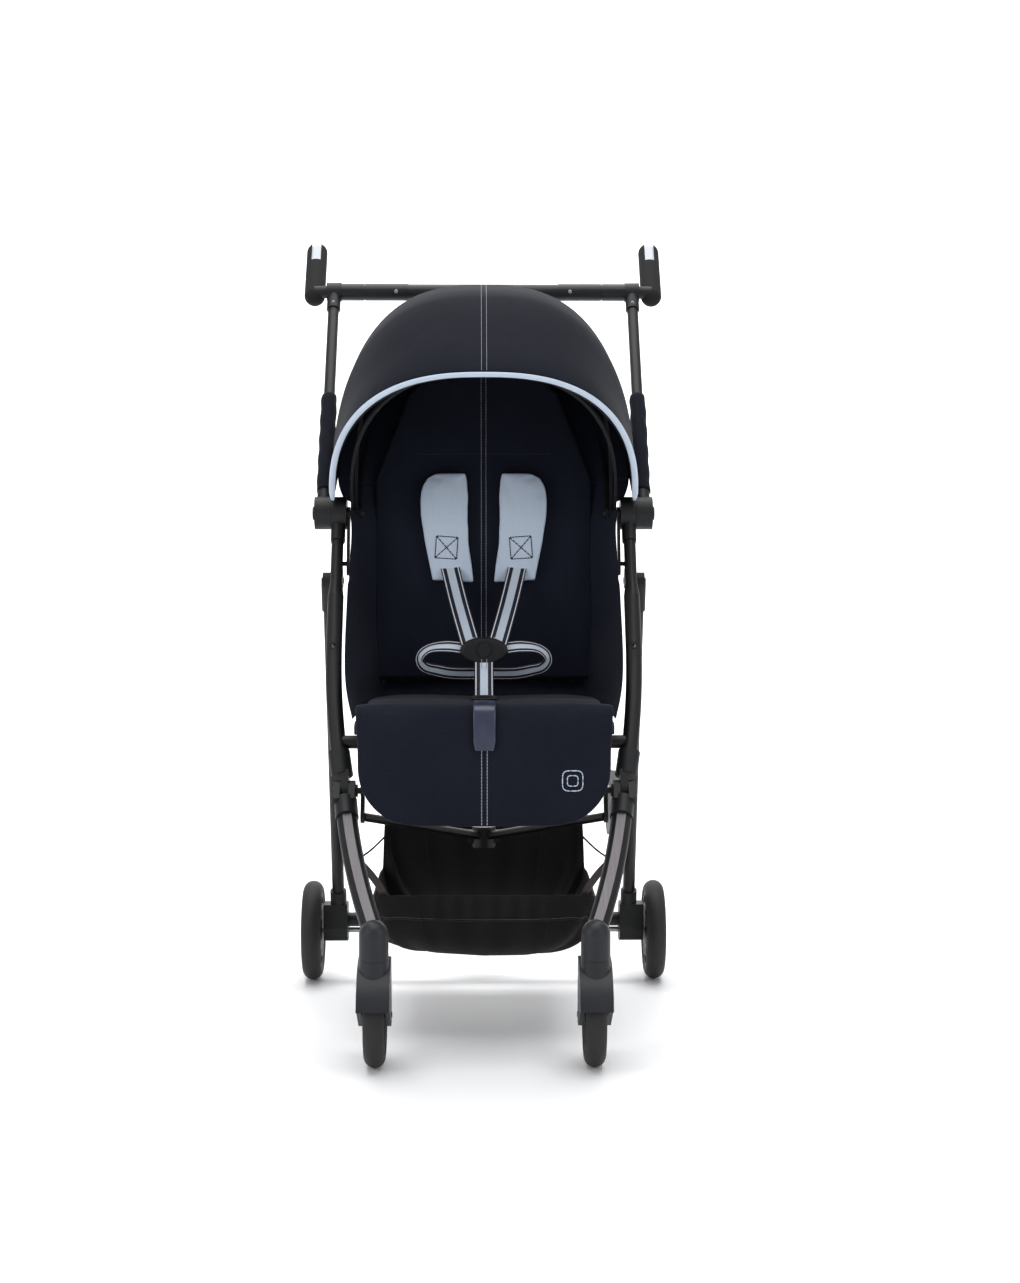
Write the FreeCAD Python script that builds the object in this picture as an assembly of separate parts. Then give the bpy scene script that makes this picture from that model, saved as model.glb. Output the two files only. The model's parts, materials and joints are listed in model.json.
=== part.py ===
import FreeCAD, Part
import math
import os

# Compact folding pushchair. Millimetres, +Z up, the front faces -Y, left is +X.
# Built about the handle hinge and moved at the end so that the origin is the
# middle of the footprint on the ground.

V = FreeCAD.Vector

# ---- driving dimensions -------------------------------------------------------
HINGE_Y = 54.0            # handle hinge axis
HINGE_Z = 663.0
KNEE_Y = -150.0           # joint between main tube and front leg
KNEE_Z = 314.0
SWIVEL_Y = -320.0         # front caster axis
SWIVEL_X = 131.0
FRONT_WHEEL_R = 62.5
WHEEL_TO_HEAD = 9.0       # from the top of the front wheel to the caster head
HEAD_LOW_Z = 2 * FRONT_WHEEL_R + WHEEL_TO_HEAD
HEAD_LENGTH = 32.0
HEAD_TOP_Z = HEAD_LOW_Z + HEAD_LENGTH   # where the front leg enters the caster head
FRONT_TYRE_W = 25.0
TRAIL = 28.0              # caster trail
REAR_AXLE_Y = 215.0
REAR_WHEEL_R = 70.0
REAR_TYRE_W = 27.0

MAIN_X = 194.5            # main tube centre at the hinge
MAIN_INWARD = 19.5        # how far the main tube comes inward by the knee
MAIN_KNEE_X = MAIN_X - MAIN_INWARD
MAIN_TOP_R = 8.0
MAIN_LOW_R = 10.5
TUBE_WALL = 1.5
MAIN_STRAIGHT = 200.0     # length before the tube bends inward
MAIN_SWELL = 105.0        # distance below the hinge where the tube widens
LEG_HALF_W = 13.0
LEG_HALF_D = 10.0
REAR_LEG_OUT = 11.5       # rear leg centre outside the main tube's
REAR_LEG_X = MAIN_X + REAR_LEG_OUT
REAR_LEG_R = 8.5
REAR_WHEEL_OUT = 37.0     # rear wheel centre outside the rear leg's
REAR_WHEEL_X = REAR_LEG_X + REAR_WHEEL_OUT
REAR_PIVOT_DOWN = 90.0    # along the main tube below the hinge
REAR_PIVOT_BACK = 24.0    # behind the main tube's axis

HANDLE_OUT = 20.0         # handle tube centre outside the main tube's
HANDLE_X = MAIN_X + HANDLE_OUT
HANDLE_R = 7.75
HANDLE_LENGTH = 397.6     # hinge to crossbar
HANDLE_LEAN = 36.4        # degrees behind vertical
CROSSBAR_R = 11.5
SLEEVE_R = 12.3
CENTRE_HALF = 108.0       # half length of the plain middle tube
GRIP_OUT = 28.5           # grip centre outside the handle tube's
GRIP_X = HANDLE_X + GRIP_OUT
GRIP_R = 15.0
GRIP_LENGTH = 116.0
GRIP_LEAN = math.radians(38)

HOUSING_R = 22.0
HOUSING_IN = MAIN_X - 11.5
HOUSING_SPLIT = MAIN_X + 9.2            # where the fixed and turning halves meet
HOUSING_OUT = HANDLE_X + 11.5
PIN_R = 4.0
RUN = 0.05                # radial running clearance
GAP = 0.3                 # side clearance between moving pieces
PIN_IN = MAIN_X - 34.5    # the hinge pin also carries the links and the bows
HINGE_PIN_R = 3.0         # recline and leg-rest pins
LINK_IN = MAIN_X - 15.9
LINK_T = 4.0
LINK_OUT = LINK_IN + LINK_T

CANOPY_R = 306.0
CANOPY_HALF = MAIN_X + 7.5
CANOPY_POWER = 2.53       # roundness of the canopy's cross-section
SHELL_STEP = 3.0
SHELL_T = 2.0
SHELL_HUB = 26.0
FRONT_EDGE = 33.7         # canopy edges, degrees above the forward horizontal
MID_EDGE = 64.0
REAR_EDGE = 94.5
REAR_END = 127.0
LAP = 1.5
BOW_T = 4.0
BOW_W = 6.0
BOW_HALF = LINK_IN - 1.6

SEAT_BAR_Z = 372.0
SEAT_BAR_R = 8.5
SEAT_HALF = 148.0
SEAT_TOP_Z = 427.0
SEAT_FRONT_Y = -182.0
SEAT_REAR_Y = 40.0
BOARD_T = 8.0
RAIL_T = 4.0
RAIL_X = SEAT_HALF + 8 + RAIL_T / 2
RECLINE_Y = 52.0
RECLINE_Z = 412.0
BACK_LEAN = 11.4
BACK_LENGTH = 462.0
BACK_TOP_HALF = 98.0
BACK_BOARD_T = 6.0
BACK_PAD_T = 22.0
REST_HINGE_Y = -198.0
REST_HINGE_Z = 396.0
REST_DROP = 118.0
REST_HALF = RAIL_X + RAIL_T / 2

BASKET_HALF = 134.0
BASKET_FRONT_Y = -204.0
BASKET_REAR_Y = 188.0
BASKET_LOW_Z = 80.0
BASKET_FRONT_Z = 190.0
BASKET_REAR_Z = 236.0
BASKET_T = 2.5

BUSH_Z = 491.0
BUSH_BORE_R = 2.5
BUSH_R = 5.0

nodes = {}


# ---- small helpers ------------------------------------------------------------
def rod(start, end, radius):
    """Solid cylinder between two points."""
    line = end - start
    return Part.makeCylinder(radius, line.Length, start, line)


def cross_rod(x0, x1, y, z, radius):
    """Cylinder along X."""
    return rod(V(min(x0, x1), y, z), V(max(x0, x1), y, z), radius)


def block(x0, x1, y0, y1, z0, z1):
    return Part.makeBox(x1 - x0, y1 - y0, z1 - z0, V(x0, y0, z0))


def side_plate(points, x0, x1):
    """Plate with a (y, z) outline, between two x planes."""
    corners = [V(x0, y, z) for y, z in points]
    face = Part.Face(Part.makePolygon(corners + corners[:1]))
    return face.extrude(V(x1 - x0, 0, 0))


def other_side(shape):
    return shape.mirror(V(0, 0, 0), V(1, 0, 0))


def both(*shapes):
    """One node that holds the left-hand pieces and their right-hand twins."""
    return Part.makeCompound(list(shapes) + [other_side(shape) for shape in shapes])


def joined(first, *rest):
    return first.fuse(list(rest)).removeSplitter()


def swept(path, section):
    """Solid made by running a closed section along a path."""
    return Part.Wire(path).makePipeShell([section], True, True)


def ring_section(centre, direction, radius):
    return Part.Wire(Part.Circle(centre, direction, radius).toShape())


def rounded(solid, edges, radius):
    """Fillet the chosen edges."""
    return solid.makeFillet(radius, edges) if edges else solid


# ---- side view directions -----------------------------------------------------
HINGE = V(0, HINGE_Y, HINGE_Z)
KNEE = V(0, KNEE_Y, KNEE_Z)
HEAD = V(0, SWIVEL_Y, HEAD_TOP_Z)
main_run = (KNEE - HINGE).Length
main_dir = (KNEE - HINGE).normalize()
main_back = V(0, -main_dir.z, main_dir.y)
leg_run = (HEAD - KNEE).Length
leg_dir = (HEAD - KNEE).normalize()
leg_front = V(0, leg_dir.z, -leg_dir.y)
lean = math.radians(HANDLE_LEAN)
handle_dir = V(0, math.sin(lean), math.cos(lean))
TOP = HINGE + handle_dir * HANDLE_LENGTH
REAR_PIVOT = HINGE + main_dir * REAR_PIVOT_DOWN + main_back * REAR_PIVOT_BACK
REAR_AXLE = V(0, REAR_AXLE_Y, REAR_WHEEL_R)
rear_dir = (REAR_AXLE - REAR_PIVOT).normalize()
SEAT_BAR = HINGE + main_dir * ((HINGE_Z - SEAT_BAR_Z) / -main_dir.z)

main_bend = MAIN_X - MAIN_KNEE_X
bend_run = main_run - MAIN_STRAIGHT
main_bend_r = (bend_run ** 2 + main_bend ** 2) / (2 * main_bend)


def main_x(run):
    """Main tube centre's x at a distance below the hinge."""
    past = max(0.0, run - MAIN_STRAIGHT)
    return MAIN_X - (main_bend_r - math.sqrt(main_bend_r ** 2 - past ** 2))


def main_point(run):
    return HINGE + main_dir * run + V(main_x(run), 0, 0)


# ---- main tubes ---------------------------------------------------------------
MAIN_START = 14.0
MAIN_END = main_run - 24.0
SWELL_LENGTH = 22.0


def main_tube_solid(shrink):
    """Upper round tube swelling into the wider lower tube."""
    swell_end = MAIN_SWELL + SWELL_LENGTH
    upper = rod(main_point(MAIN_START), main_point(MAIN_SWELL), MAIN_TOP_R - shrink)
    cone = Part.makeCone(MAIN_TOP_R - shrink, MAIN_LOW_R - shrink, swell_end - MAIN_SWELL,
                         main_point(MAIN_SWELL), main_dir)
    straight = rod(main_point(swell_end), main_point(MAIN_STRAIGHT), MAIN_LOW_R - shrink)
    middle = (MAIN_STRAIGHT + MAIN_END) / 2
    bend = Part.Arc(main_point(MAIN_STRAIGHT), main_point(middle), main_point(MAIN_END)).toShape()
    section = ring_section(main_point(MAIN_STRAIGHT), main_dir, MAIN_LOW_R - shrink)
    return joined(upper, cone, straight, swept([bend], section))


main_solid = main_tube_solid(0)
main_hollow = main_solid.cut(main_tube_solid(TUBE_WALL))

# Accessory bushes: bored along Y through each main tube.
bush_at = (HINGE_Z - BUSH_Z) / -main_dir.z
bush_centre = main_point(bush_at)
BUSH_PROUD = 2.5
bush_half = MAIN_LOW_R / -main_dir.z + BUSH_PROUD
bush_outer = rod(bush_centre - V(0, bush_half, 0), bush_centre + V(0, bush_half, 0), BUSH_R)
bush_bore = rod(bush_centre - V(0, bush_half + 1, 0), bush_centre + V(0, bush_half + 1, 0), BUSH_BORE_R)
nodes["accessory_bushes"] = both(bush_outer.cut(bush_bore))
main_hollow = main_hollow.cut(bush_outer)
nodes["main_tubes"] = both(main_hollow)


# ---- hinge housings and pins --------------------------------------------------
def hub(x0, x1, centre, radius):
    return cross_rod(x0, x1, centre.y, centre.z, radius)


SOCKET_T = 2.0            # wall of the sockets that grip a tube
HOUSING_SOCKET = 44.0     # how far the housing's socket runs down the main tube
PIN_HEAD_R = 9.0
PIN_HEAD_T = 3.0
WIDE = 1000.0             # larger than the whole pushchair, for trimming
housing = joined(
    hub(HOUSING_IN, HOUSING_SPLIT - GAP, HINGE, HOUSING_R),
    rod(HINGE + V(MAIN_X, 0, 0), main_point(HOUSING_SOCKET), MAIN_TOP_R + SOCKET_T),
)
hinge_pin = joined(
    hub(PIN_IN, HOUSING_OUT + GAP, HINGE, PIN_R),
    hub(HOUSING_OUT + GAP, HOUSING_OUT + PIN_HEAD_T, HINGE, PIN_HEAD_R),
)
housing = housing.common(block(0, HOUSING_SPLIT - GAP, -WIDE, WIDE, 0, 2 * WIDE))
nodes["hinge_housings"] = both(housing.cut(main_solid).cut(hinge_pin))

TONGUE = 5.0
CHEEK = 13.5
bar_end = MAIN_KNEE_X - CHEEK
knee_pin = cross_rod(bar_end + GAP, MAIN_KNEE_X + CHEEK + 1.5, KNEE_Y, KNEE_Z, PIN_R)
bracket_in = MAIN_X - 7.5
rear_pin = cross_rod(bracket_in - 1, REAR_LEG_X + 10, REAR_PIVOT.y, REAR_PIVOT.z, PIN_R)
pins = [hinge_pin, knee_pin, rear_pin]
nodes["frame_pins"] = both(*pins)

# Bracket that carries the rear leg behind the main tube.
plate_half = 9.0
foot_half = 16.0
bracket_out = REAR_LEG_X - REAR_LEG_R - 2.5
foot = HINGE + main_dir * REAR_PIVOT_DOWN
bracket = joined(
    hub(bracket_in, bracket_out, REAR_PIVOT, PIN_R + 6),
    side_plate(
        [(p.y, p.z) for p in (
            foot - main_dir * foot_half, REAR_PIVOT - main_dir * plate_half,
            REAR_PIVOT + main_dir * plate_half, foot + main_dir * foot_half)],
        bracket_in, bracket_out),
)
rear_bracket = bracket.cut(main_solid).cut(rear_pin)

# ---- knee: collar above, clevis below -----------------------------------------
KNEE_R = 13.0
knee_at = KNEE + V(MAIN_KNEE_X, 0, 0)
COLLAR_R = MAIN_LOW_R + 3.5
collar_top = main_point(MAIN_END - 29)
collar_low = main_point(MAIN_END + 4)
tongue_side = main_back * KNEE_R
tongue = joined(
    hub(MAIN_KNEE_X - TONGUE, MAIN_KNEE_X + TONGUE, KNEE, KNEE_R),
    side_plate(
        [(p.y, p.z) for p in (
            KNEE - tongue_side, KNEE + tongue_side,
            KNEE + tongue_side - main_dir * 24, KNEE - tongue_side - main_dir * 24)],
        MAIN_KNEE_X - TONGUE, MAIN_KNEE_X + TONGUE),
)
collar = joined(rod(collar_top, collar_low, COLLAR_R), tongue)
nodes["knee_collars"] = both(collar.cut(main_solid).cut(knee_pin))


def leg_x(run):
    """Front leg centre's x, bowing inward to the caster head."""
    start_slope = math.radians(5)
    drop = MAIN_KNEE_X - SWIVEL_X
    chord = math.atan2(drop, leg_run)
    end_slope = 2 * chord - start_slope
    bow_r = leg_run / (math.sin(end_slope) - math.sin(start_slope))
    slope = math.asin(math.sin(start_slope) + run / bow_r)
    return MAIN_KNEE_X - bow_r * (math.cos(start_slope) - math.cos(slope))


def leg_point(run):
    return KNEE + leg_dir * run + V(leg_x(run), 0, 0)


LEG_START = 20.0
LEG_END = leg_run - 2.0


def leg_path(offset):
    points = [leg_point(run) + leg_front * offset for run in (LEG_START, leg_run / 2, LEG_END)]
    return [Part.Arc(*points).toShape()], points[0]


def oval(centre, half_w, half_d):
    shape = Part.Ellipse(centre + V(half_w, 0, 0), centre + leg_front * half_d, centre).toShape()
    return Part.Wire(shape)


path, start = leg_path(0)
leg_solid = swept(path, oval(start, LEG_HALF_W, LEG_HALF_D))
leg_inner = swept(path, oval(start, LEG_HALF_W - TUBE_WALL, LEG_HALF_D - TUBE_WALL))

# Bright strip let into the front of each leg.
INLAY_HALF = 5.5
inlay_corners = [
    start + leg_front * (LEG_HALF_D - 1.6) + V(-INLAY_HALF, 0, 0),
    start + leg_front * (LEG_HALF_D - 1.6) + V(INLAY_HALF, 0, 0),
    start + leg_front * (LEG_HALF_D + 0.3) + V(INLAY_HALF, 0, 0),
    start + leg_front * (LEG_HALF_D + 0.3) + V(-INLAY_HALF, 0, 0),
]
inlay = swept(path, Part.makePolygon(inlay_corners + inlay_corners[:1]))

cheek_outline = [(p.y, p.z) for p in (
    KNEE - leg_front * KNEE_R, KNEE + leg_front * KNEE_R,
    KNEE + leg_front * KNEE_R + leg_dir * 24, KNEE - leg_front * KNEE_R + leg_dir * 24)]
knuckle = rod(leg_point(17), leg_point(46), 14.5)
for x0, x1 in ((MAIN_KNEE_X - CHEEK, MAIN_KNEE_X - TONGUE - GAP),
               (MAIN_KNEE_X + TONGUE + GAP, MAIN_KNEE_X + CHEEK)):
    knuckle = joined(knuckle, hub(x0, x1, KNEE, KNEE_R), side_plate(cheek_outline, x0, x1))
# Room for the collar's tongue to turn.
knuckle = knuckle.cut(hub(MAIN_KNEE_X - TONGUE - GAP, MAIN_KNEE_X + TONGUE + GAP, KNEE, KNEE_R + 1.5))
knuckle = knuckle.cut(leg_solid).cut(hub(MAIN_KNEE_X - 20, MAIN_KNEE_X + 20, KNEE, PIN_R + RUN))
nodes["knee_knuckles"] = both(knuckle)

# ---- caster heads, forks and front wheels -------------------------------------
HEAD_R = 17.5
STEM_R = 5.0
head_top = V(SWIVEL_X, SWIVEL_Y, HEAD_TOP_Z - 2)
head = joined(
    rod(V(SWIVEL_X, SWIVEL_Y, HEAD_LOW_Z), head_top, HEAD_R),
    Part.makeSphere(HEAD_R, head_top),
)
head = head.cut(leg_solid).cut(inlay)
crown_top = HEAD_LOW_Z - GAP
wheel_at = V(SWIVEL_X, SWIVEL_Y + TRAIL, FRONT_WHEEL_R)
hood_r = FRONT_WHEEL_R + 7.0
stem_low = FRONT_WHEEL_R * 2 + 2.5
stem = rod(V(SWIVEL_X, SWIVEL_Y, stem_low), V(SWIVEL_X, SWIVEL_Y, HEAD_LOW_Z + 14), STEM_R)
head = head.cut(stem)
nodes["caster_heads"] = both(head, stem)

FORK_HALF = 19.5
slot_half = FRONT_TYRE_W / 2 + 1.5
hood = hub(SWIVEL_X - FORK_HALF, SWIVEL_X + FORK_HALF, wheel_at, hood_r)
BOSS_R = 13.0
fork_side = [(-hood_r - 10.5, hood_r), (-hood_r - 10.5, 19.5), (-52, 13.5), (-6, 0.5 - BOSS_R),
             (BOSS_R, 0.5 - BOSS_R), (BOSS_R, 15.5), (6, hood_r)]
keep = side_plate(
    [(wheel_at.y + y, wheel_at.z + z) for y, z in fork_side],
    SWIVEL_X - FORK_HALF - 10, SWIVEL_X + FORK_HALF + 10)
hood = hood.common(keep)
axle_boss = hub(SWIVEL_X - FORK_HALF, SWIVEL_X + FORK_HALF, wheel_at, BOSS_R)
neck = Part.makeCone(HEAD_R, FORK_HALF, 26, V(SWIVEL_X, SWIVEL_Y, crown_top), V(0, 0, -1))
fork = joined(hood, axle_boss, neck)
wheel_room = hub(SWIVEL_X - slot_half, SWIVEL_X + slot_half, wheel_at, FRONT_WHEEL_R + 3)
fork = fork.cut(wheel_room)
fork = fork.cut(rod(V(SWIVEL_X, SWIVEL_Y, wheel_at.z), V(SWIVEL_X, SWIVEL_Y, HEAD_LOW_Z + 6), STEM_R + RUN))
front_axle = hub(SWIVEL_X - FORK_HALF - 1, SWIVEL_X + FORK_HALF + 1, wheel_at, 3.5)
fork = fork.cut(front_axle)


def tyre(centre, x, radius, width, depth):
    """Tyre with a rounded tread, seated on a rim of radius minus depth."""
    half = width / 2
    seat = radius - depth
    shoulder = half * 0.75
    outline = [
        Part.LineSegment(V(-half + 2, 0, seat), V(half - 2, 0, seat)),
        Part.LineSegment(V(half - 2, 0, seat), V(half, 0, seat + 3)),
        Part.LineSegment(V(half, 0, seat + 3), V(half, 0, radius - shoulder)),
        Part.Arc(V(half, 0, radius - shoulder), V(0, 0, radius), V(-half, 0, radius - shoulder)),
        Part.LineSegment(V(-half, 0, radius - shoulder), V(-half, 0, seat + 3)),
        Part.LineSegment(V(-half, 0, seat + 3), V(-half + 2, 0, seat)),
    ]
    face = Part.Face(Part.Wire([piece.toShape() for piece in outline]))
    solid = face.revolve(V(0, 0, 0), V(1, 0, 0), 360)
    solid.translate(centre + V(x - centre.x, 0, 0))
    return solid


def rim(centre, x, radius, width, bore, spokes):
    """Spoked rim: a band, a hub and spokes, bored for the axle."""
    half = width / 2
    low = x - half + 2
    high = x + half - 2
    body = hub(low, high, centre, radius).cut(hub(low - 1, high + 1, centre, radius - 5))
    body = joined(body, hub(x - half + 1, x + half - 1, centre, 12.0))
    for index in range(spokes):
        arm = block(x - 4, x + 4, -5, 5, 9, radius - 3)
        arm.rotate(V(0, 0, 0), V(1, 0, 0), 360.0 * index / spokes)
        arm.translate(V(0, centre.y, centre.z))
        body = body.fuse(arm)
    return body.removeSplitter().cut(hub(x - half - 1, x + half + 1, centre, bore))


front_rim_r = FRONT_WHEEL_R - 15
for side, sign in (("left", 1), ("right", -1)):
    place = other_side if sign < 0 else (lambda shape: shape)
    nodes["fork_" + side] = place(Part.makeCompound([fork, front_axle]))
    nodes["front_tyre_" + side] = place(tyre(wheel_at, SWIVEL_X, FRONT_WHEEL_R, FRONT_TYRE_W, 15))
    nodes["front_rim_" + side] = place(rim(wheel_at, SWIVEL_X, front_rim_r, FRONT_TYRE_W, 3.5 + RUN, 6))

leg_tube = leg_solid.cut(leg_inner).cut(inlay)
nodes["front_legs"] = both(leg_tube)
head_room = Part.makeSphere(HEAD_R + 0.05, head_top)
nodes["leg_inlays"] = both(inlay.cut(knuckle).cut(head_room).cut(rod(leg_point(17), leg_point(46), 14.5)))

BAR_R = 4.0
bar_flange = hub(bar_end - 3, bar_end, KNEE, 8.0)
nodes["knee_bar"] = joined(
    cross_rod(-bar_end, bar_end, KNEE_Y, KNEE_Z, BAR_R), bar_flange, other_side(bar_flange))

# ---- rear legs, axle, wheels and brake ----------------------------------------
rear_at = V(REAR_LEG_X, 0, 0)
rear_solid = rod(REAR_PIVOT + rear_at + rear_dir * 12, REAR_AXLE + rear_at - rear_dir * 34, REAR_LEG_R)
rear_inner = rod(REAR_PIVOT + rear_at + rear_dir * 11, REAR_AXLE + rear_at - rear_dir * 33,
                 REAR_LEG_R - TUBE_WALL)
rear_tube = rear_solid.cut(rear_inner)
nodes["rear_legs"] = both(rear_tube)

# Knuckle at the top of each rear leg, with the pin that the folding link takes.
LINK_PIN_R = 3.0
link_low = REAR_PIVOT + V(0, 6.1, 22.3)   # link pin, above the rear pivot
KNUCKLE_IN = REAR_LEG_X - 10 + GAP
rear_knuckle = joined(
    hub(KNUCKLE_IN, REAR_LEG_X + 8, REAR_PIVOT, 11.0),
    rod(REAR_PIVOT + rear_at, REAR_PIVOT + rear_at + rear_dir * 42, REAR_LEG_R + 2),
    side_plate(
        [(p.y, p.z) for p in (
            REAR_PIVOT + V(0, -9, 2), REAR_PIVOT + V(0, 9, -2),
            link_low + V(0, 6.5, -1), link_low + V(0, 3, 6), link_low + V(0, -4, 6),
            link_low + V(0, -7, 1))],
        KNUCKLE_IN, KNUCKLE_IN + 5),
    hub(LINK_IN - 0.5, KNUCKLE_IN + 4, link_low, LINK_PIN_R),
)
rear_knuckle = rear_knuckle.cut(rear_solid).cut(hub(LINK_IN, REAR_WHEEL_X, REAR_PIVOT, PIN_R + RUN))
nodes["rear_knuckles"] = both(rear_knuckle)

# Brake housing: foot casting that joins leg, cross tube and axle.
FOOT_IN = REAR_LEG_X - 13
FOOT_OUT = REAR_WHEEL_X - REAR_TYRE_W / 2 - 2.5
TUBE_Z = REAR_WHEEL_R + 16
CROSS_R = 10.0
AXLE_R = 4.0
foot_solid = joined(
    side_plate(
        [(REAR_AXLE_Y - 22, REAR_WHEEL_R - 12), (REAR_AXLE_Y + 12, REAR_WHEEL_R - 16),
         (REAR_AXLE_Y + 20, REAR_WHEEL_R + 6), (REAR_AXLE_Y + 8, REAR_WHEEL_R + 40),
         (REAR_AXLE_Y - 26, REAR_WHEEL_R + 40), (REAR_AXLE_Y - 32, REAR_WHEEL_R + 6)],
        FOOT_IN, FOOT_OUT),
    rod(REAR_AXLE + rear_at - rear_dir * 64, REAR_AXLE + rear_at - rear_dir * 24, REAR_LEG_R + 3),
)
foot_solid = rounded(foot_solid, [e for e in foot_solid.Edges if e.Length > FOOT_OUT - FOOT_IN - 0.1
                                  and abs(e.Vertexes[0].Y - e.Vertexes[-1].Y) < 0.01
                                  and abs(e.Vertexes[0].Z - e.Vertexes[-1].Z) < 0.01
                                  and e.Curve.TypeId == "Part::GeomLine"
                                  and e.Vertexes[0].Z < REAR_WHEEL_R + 10], 5.0)
axle = cross_rod(-REAR_WHEEL_X - 16, REAR_WHEEL_X + 16, REAR_AXLE_Y, REAR_WHEEL_R, AXLE_R)
cross_y = REAR_AXLE_Y - 6
cross_solid = cross_rod(-FOOT_IN - 6, FOOT_IN + 6, cross_y, TUBE_Z, CROSS_R)
cross_hollow = cross_solid.cut(cross_rod(-FOOT_IN - 7, FOOT_IN + 7, cross_y, TUBE_Z, CROSS_R - TUBE_WALL))
nodes["rear_cross_tube"] = cross_hollow
BRAKE_PIN_R = 2.5
BRAKE_THROW = 8.0
brake_ring = 30.0
brake_pin_y = REAR_AXLE_Y
brake_pin_z = REAR_WHEEL_R + brake_ring
brake_pin = cross_rod(FOOT_OUT - 16, FOOT_OUT - 0.5, brake_pin_y, brake_pin_z, BRAKE_PIN_R)
pin_room = cross_rod(FOOT_OUT - 16 - GAP, FOOT_OUT + 2, brake_pin_y, brake_pin_z, BRAKE_PIN_R + RUN)
foot_solid = foot_solid.cut(rear_solid).cut(cross_solid).cut(axle).cut(pin_room)
nodes["brake_housings"] = both(foot_solid)
nodes["rear_axle"] = axle

rear_rim = rim(REAR_AXLE, REAR_WHEEL_X, REAR_WHEEL_R - 16, REAR_TYRE_W, AXLE_R + RUN, 6)
# Drum with the ring of holes that the brake pin enters.
DRUM_T = 4.0
drum_x = REAR_WHEEL_X - REAR_TYRE_W / 2 + 1.0
drum = hub(drum_x, drum_x + DRUM_T, REAR_AXLE, brake_ring + 8).cut(
    hub(drum_x - 1, drum_x + DRUM_T + 1, REAR_AXLE, AXLE_R + RUN))
HOLES = 12
for index in range(HOLES):
    turn = 2 * math.pi * index / HOLES
    hole_at = REAR_AXLE + V(0, brake_ring * math.sin(turn), brake_ring * math.cos(turn))
    drum = drum.cut(hub(drum_x - 1, drum_x + DRUM_T + 1, hole_at, BRAKE_PIN_R + 0.8))
    rear_rim = rear_rim.cut(hub(drum_x - 1, drum_x + DRUM_T + 3, hole_at, BRAKE_PIN_R + 0.8))
rear_rim = joined(rear_rim, drum)
for index in range(HOLES):
    turn = 2 * math.pi * index / HOLES
    hole_at = REAR_AXLE + V(0, brake_ring * math.sin(turn), brake_ring * math.cos(turn))
    rear_rim = rear_rim.cut(hub(drum_x - 1, drum_x + DRUM_T + 3, hole_at, BRAKE_PIN_R + 0.8))
rear_tyre = tyre(REAR_AXLE, REAR_WHEEL_X, REAR_WHEEL_R, REAR_TYRE_W, 16)
for side, place in (("left", lambda shape: shape), ("right", other_side)):
    nodes["brake_pin_" + side] = place(brake_pin)
    nodes["rear_rim_" + side] = place(rear_rim)
    nodes["rear_tyre_" + side] = place(rear_tyre)

# Foot pedal: a sleeve round the cross tube with a paddle behind it.
PEDAL_HALF = 34.0
paddle = side_plate(
    [(cross_y + 4, TUBE_Z + 9), (cross_y + 14, TUBE_Z + 12), (cross_y + 58, TUBE_Z + 22),
     (cross_y + 60, TUBE_Z + 17), (cross_y + 14, TUBE_Z + 4)],
    -PEDAL_HALF, PEDAL_HALF)
pedal = joined(cross_rod(-PEDAL_HALF, PEDAL_HALF, cross_y, TUBE_Z, CROSS_R + 3), paddle)
nodes["brake_pedal"] = pedal.cut(cross_rod(-PEDAL_HALF - 1, PEDAL_HALF + 1, cross_y, TUBE_Z, CROSS_R + RUN))

# ---- folding links ------------------------------------------------------------
link_reach = (link_low - HINGE).Length
link_dir = (link_low - HINGE).normalize()
link_side = V(0, link_dir.z, -link_dir.y)
link_end = HINGE + link_dir * (link_reach + 9)


def bar_outline(start, end, side, half):
    return [(p.y, p.z) for p in (start - side * half, start + side * half, end + side * half, end - side * half)]


link = joined(
    hub(LINK_IN, LINK_OUT, HINGE, 8.5),
    side_plate(bar_outline(HINGE, link_end, link_side, 7.0), LINK_IN, LINK_OUT),
    hub(LINK_IN, LINK_OUT, link_end, 7.0),
)
slot_start = HINGE + link_dir * (link_reach - 1.5)
slot_end = HINGE + link_dir * (link_reach + 9)
link_slot = joined(
    hub(LINK_IN - 1, LINK_OUT + 1, slot_start, LINK_PIN_R + 1),
    hub(LINK_IN - 1, LINK_OUT + 1, slot_end, LINK_PIN_R + 1),
    side_plate(bar_outline(slot_start, slot_end, link_side, LINK_PIN_R + 1), LINK_IN - 1, LINK_OUT + 1),
)
link = link.cut(link_slot).cut(hub(LINK_IN - 1, LINK_OUT + 1, HINGE, PIN_R + RUN))
nodes["fold_links"] = both(link)

# ---- seat frame ---------------------------------------------------------------
SEAT_BAR_HALF = MAIN_KNEE_X + 13
seat_bar = cross_rod(-SEAT_BAR_HALF, SEAT_BAR_HALF, SEAT_BAR.y, SEAT_BAR.z, SEAT_BAR_R)
seat_bar = seat_bar.cut(main_solid).cut(other_side(main_solid))
seat_bar = max(seat_bar.Solids, key=lambda solid: solid.Volume)
board_low = SEAT_BAR_Z + SEAT_BAR_R + GAP
board_top = board_low + BOARD_T
nodes["seat_bar"] = seat_bar.cut(
    cross_rod(-WIDE, WIDE, SEAT_BAR.y, SEAT_BAR.z, SEAT_BAR_R - TUBE_WALL))

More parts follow.
